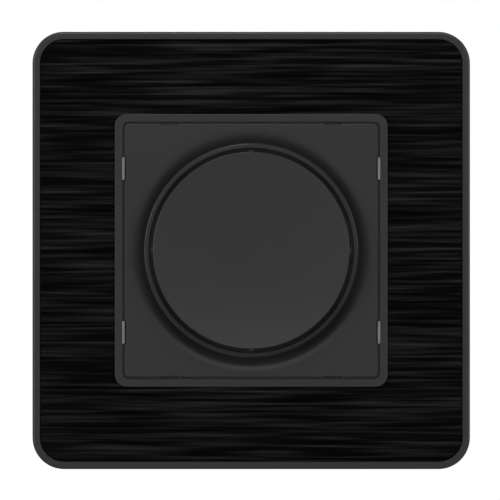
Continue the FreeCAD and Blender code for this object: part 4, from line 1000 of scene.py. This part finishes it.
@dataclass
class Resistors:
    """Three carbon film resistors across the board: waisted lacquered bodies on bent tinned leads.

    The crown says how far from a body's end it has which share of its radius.
    """

    finishes: Finishes
    node: str = "resistors"
    spacing: float = 3.0
    sides: int = 28
    waist: float = 0.88
    waist_slope: float = 0.35
    cap_length: float = 1.5
    crown: tuple[tuple[float, float], ...] = ((0.0, 0.5), (0.12, 0.82), (0.4, 1.0))
    lead: float = 0.3
    lead_sides: int = 12
    lead_root: float = 0.1
    lead_out: float = 0.5
    lead_bend: float = 0.8
    lead_bend_steps: int = 6
    lead_drop: float = 1.5

    def build(self) -> None:
        """Draw the bodies and the leads where the CAD node is."""
        middle, radius, half = measure_lying(self.node)
        shoulder = half - self.cap_length
        upper = [(shoulder, self.waist), (shoulder + self.waist_slope, radius)]
        upper += [(half - inward, radius * share) for inward, share in reversed(self.crown)]
        lower = [(-height, reach) for height, reach in reversed(upper)]
        body = draw_rings("body", tuple(lower + upper), self.sides)
        self.spread("resistor_bodies", body, middle, "resistor_paint", True)
        lead = self.draw_lead(half)
        pair = join("leads", [lead, copy_piece(lead, (0.0, math.pi, 0.0))])
        mend_shell(pair)
        self.spread("resistor_leads", pair, middle, "zinc_plated", False)

    def spread(self, name: str, piece: bpy.types.Object, middle: Place, slot: str, stands: bool) -> None:
        """Set three copies of a piece at their spacing, at the place of the CAD node.

        Args:
            name: name of the joined piece.
            piece: the piece, drawn along Z about the origin.
            middle: the middle of the CAD node, in metres.
            slot: the record's slot that the piece takes its finish from.
            stands: whether the piece stands for the CAD node.
        """
        # the middle piece stays, and one copy goes to each side
        twins = [copy_piece(piece, shift=(side * self.spacing, 0.0, 0.0)) for side in (-1, 1)]
        row = join(name, [piece, *twins])
        settle(row, Axis.ACROSS, middle)
        self.finishes.hand_over(row, slot, Body.BASE)
        if stands:
            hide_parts(self.node)

    def draw_lead(self, half: float) -> bpy.types.Object:
        """Draw a lead out of a body's upper end, round a bend and down to the board.

        Args:
            half: half the length of the body, in millimetres.

        Returns:
            The lead.
        """
        root = (half - self.lead_root) * MM
        out = self.lead_out * MM
        bpy.ops.object.select_all(action="DESELECT")
        bpy.ops.mesh.primitive_circle_add(vertices=self.lead_sides, radius=self.lead * MM,
                                          fill_type="NOTHING", location=(0.0, 0.0, root))
        piece = bpy.context.active_object
        piece.name = "lead"
        bpy.ops.object.transform_apply(location=True, rotation=True, scale=True)
        bpy.ops.object.mode_set(mode="EDIT")
        bpy.ops.mesh.select_all(action="SELECT")
        bpy.ops.mesh.extrude_region_move(TRANSFORM_OT_translate={"value": (0.0, 0.0, out)})
        bpy.ops.mesh.spin(steps=self.lead_bend_steps, angle=QUARTER_TURN, axis=(1.0, 0.0, 0.0),
                          center=(0.0, -self.lead_bend * MM, root + out))
        drop = (0.0, -self.lead_drop * MM, 0.0)
        bpy.ops.mesh.extrude_region_move(TRANSFORM_OT_translate={"value": drop})
        bpy.ops.object.mode_set(mode="OBJECT")
        mend_shell(piece)
        return piece


@dataclass(frozen=True)
class Lamp:
    """A soft square lamp: its name, its place and side in metres, and its power in watts."""

    name: str
    place: Place
    size: float
    power: float

    def hang(self) -> None:
        """Hang the lamp so that it points at the switch."""
        data = bpy.data.lights.new(self.name, "AREA")
        data.size = self.size
        data.energy = self.power
        lamp = bpy.data.objects.new(self.name, data)
        lamp.location = self.place
        toward = -lamp.location
        lamp.rotation_euler = toward.to_track_quat("-Z", "Y").to_euler()
        bpy.context.scene.collection.objects.link(lamp)


@dataclass
class Studio:
    """Pale floor, white surroundings, soft lamps and a long-lens camera straight before the switch.

    The camera's sensor is in millimetres, as Blender has it.
    """

    # the picture shows this width at the depth of the frame's front
    view_width: float = 0.09825
    frame_front: float = -0.009
    camera_distance: float = 2.0
    aim_x: float = -0.00024
    aim_z: float = 0.00008
    sensor: float = 36.0
    floor_drop: float = -0.11
    floor_size: float = 8.0
    floor_squares: int = 8
    paper: str = "#c8c8c8"
    # brightness of the floor where it is seen, and of the surroundings where they only give light
    floor_glow: float = 0.86
    surround: float = 0.28
    # how far to the rear metal and glass start to mirror the floor and the surroundings in full
    floor_reach: float = 0.3
    sky_reach: float = 0.4
    nearest: float = 0.05
    farthest: float = 50.0
    lamps: tuple[Lamp, ...] = (
        Lamp("front_lamp", (0.0, -1.53, 0.465), 0.3, 0.65),
        Lamp("key_lamp", (0.0, -1.35, 0.85), 0.5, 4.3),
        Lamp("left_lamp", (-0.85, -1.35, 0.2), 0.5, 5.3),
        Lamp("right_lamp", (0.85, -1.35, 0.2), 0.5, 3.9),
        Lamp("rear_lamp", (0.3, 1.2, 0.8), 0.9, 14.0))

    def build(self) -> None:
        """Set up the whole studio."""
        self.place_camera()
        self.light_world()
        self.lay_floor()
        for lamp in self.lamps:
            lamp.hang()
        bpy.context.scene.view_settings.view_transform = "Standard"

    def place_camera(self) -> None:
        """Stand the camera straight before the switch, far off, as the photo was taken."""
        data = bpy.data.cameras.new("camera")
        data.sensor_width = self.sensor
        data.lens = self.sensor * self.camera_distance / self.view_width
        data.clip_start = self.nearest
        data.clip_end = self.farthest
        camera = bpy.data.objects.new("camera", data)
        camera.location = (self.aim_x, self.frame_front - self.camera_distance, self.aim_z)
        camera.rotation_euler = (QUARTER_TURN, 0.0, 0.0)
        bpy.context.scene.collection.objects.link(camera)
        bpy.context.scene.camera = camera

    def mirrored_behind(self, tree: Tree, ray: bpy.types.Node, depth: Socket, reach: float) -> Socket:
        """Tell where metal and glass see what lies behind the switch.

        Args:
            tree: the tree that gets the nodes.
            ray: the light path.
            depth: how far to the rear the seen point or direction is.
            reach: where it counts fully.

        Returns:
            The share, from 0 to 1.
        """
        behind = add_node(tree, "ShaderNodeMapRange", {"From Max": reach}, {"Value": depth})
        mirrored = add_node(tree, "ShaderNodeMath", {"operation": "MAXIMUM"},
                            {0: ray.outputs["Is Glossy Ray"], 1: ray.outputs["Is Transmission Ray"]})
        both = add_node(tree, "ShaderNodeMath", {"operation": "MULTIPLY"},
                        {0: mirrored.outputs["Value"], 1: behind.outputs["Result"]})
        seen = add_node(tree, "ShaderNodeMath", {"operation": "MAXIMUM"},
                        {0: ray.outputs["Is Camera Ray"], 1: both.outputs["Value"]})
        return seen.outputs["Value"]

    def light_world(self) -> None:
        """Make the world white where it is seen, and behind the switch also in its metal and glass."""
        world = bpy.data.worlds.new("studio_world")
        bpy.context.scene.world = world
        tree = clear_tree(world)
        direction = add_node(tree, "ShaderNodeTexCoord").outputs["Generated"]
        depth = add_node(tree, "ShaderNodeSeparateXYZ", None, {"Vector": direction}).outputs["Y"]
        ray = add_node(tree, "ShaderNodeLightPath")
        strength = add_node(tree, "ShaderNodeMapRange", {"To Min": self.surround, "To Max": 1.0},
                            {"Value": self.mirrored_behind(tree, ray, depth, self.sky_reach)})
        white = add_node(tree, "ShaderNodeBackground", {"Color": linear(WHITE)},
                         {"Strength": strength.outputs["Result"]})
        add_node(tree, "ShaderNodeOutputWorld", None, {"Surface": white.outputs["Background"]})

    def lay_floor(self) -> None:
        """Lay a pale floor that looks white and still takes the switch's shadow."""
        bpy.ops.object.select_all(action="DESELECT")
        bpy.ops.mesh.primitive_grid_add(
            x_subdivisions=self.floor_squares, y_subdivisions=self.floor_squares, size=self.floor_size,
            location=(0.0, 0.0, self.floor_drop))
        floor = bpy.context.active_object
        floor.name = "studio_floor"
        bpy.ops.object.transform_apply(location=True, rotation=True, scale=True)
        material = bpy.data.materials.new("pale_studio_paper")
        tree = clear_tree(material)
        place = add_node(tree, "ShaderNodeTexCoord").outputs["Object"]
        depth = add_node(tree, "ShaderNodeSeparateXYZ", None, {"Vector": place}).outputs["Y"]
        ray = add_node(tree, "ShaderNodeLightPath")
        strength = add_node(tree, "ShaderNodeMapRange", {"To Max": self.floor_glow},
                            {"Value": self.mirrored_behind(tree, ray, depth, self.floor_reach)})
        glow = add_node(tree, "ShaderNodeEmission", {"Color": linear(WHITE)},
                        {"Strength": strength.outputs["Result"]})
        paper = add_node(tree, "ShaderNodeBsdfDiffuse", {"Color": linear(self.paper)})
        both = add_node(tree, "ShaderNodeAddShader", None,
                        {0: glow.outputs["Emission"], 1: paper.outputs["BSDF"]})
        add_node(tree, "ShaderNodeOutputMaterial", None, {"Surface": both.outputs["Shader"]})
        floor.data.materials.append(material)


def main() -> None:
    """Dress the nodes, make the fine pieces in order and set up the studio."""
    logging.basicConfig(level=logging.INFO, format="%(name)s: %(message)s")
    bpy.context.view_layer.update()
    finishes = Finishes()
    finishes.dress_nodes()
    SlottedScrew(finishes, "claw_screw_left", Body.CLAW_SCREW_LEFT, Axis.REARWARD).build()
    SlottedScrew(finishes, "claw_screw_right", Body.CLAW_SCREW_RIGHT, Axis.REARWARD).build()
    for body in (Body.TERMINAL_SCREW_1, Body.TERMINAL_SCREW_2, Body.TERMINAL_SCREW_3):
        SlottedScrew(finishes, body.value, body, Axis.FORWARD, head_radius=2.3, head_height=1.6,
                     neck=3.2).build()
    ChokeWinding(finishes).build()
    GlassFuse(finishes).build()
    Resistors(finishes).build()
    Studio().build()


if __name__ == "__main__":
    main()
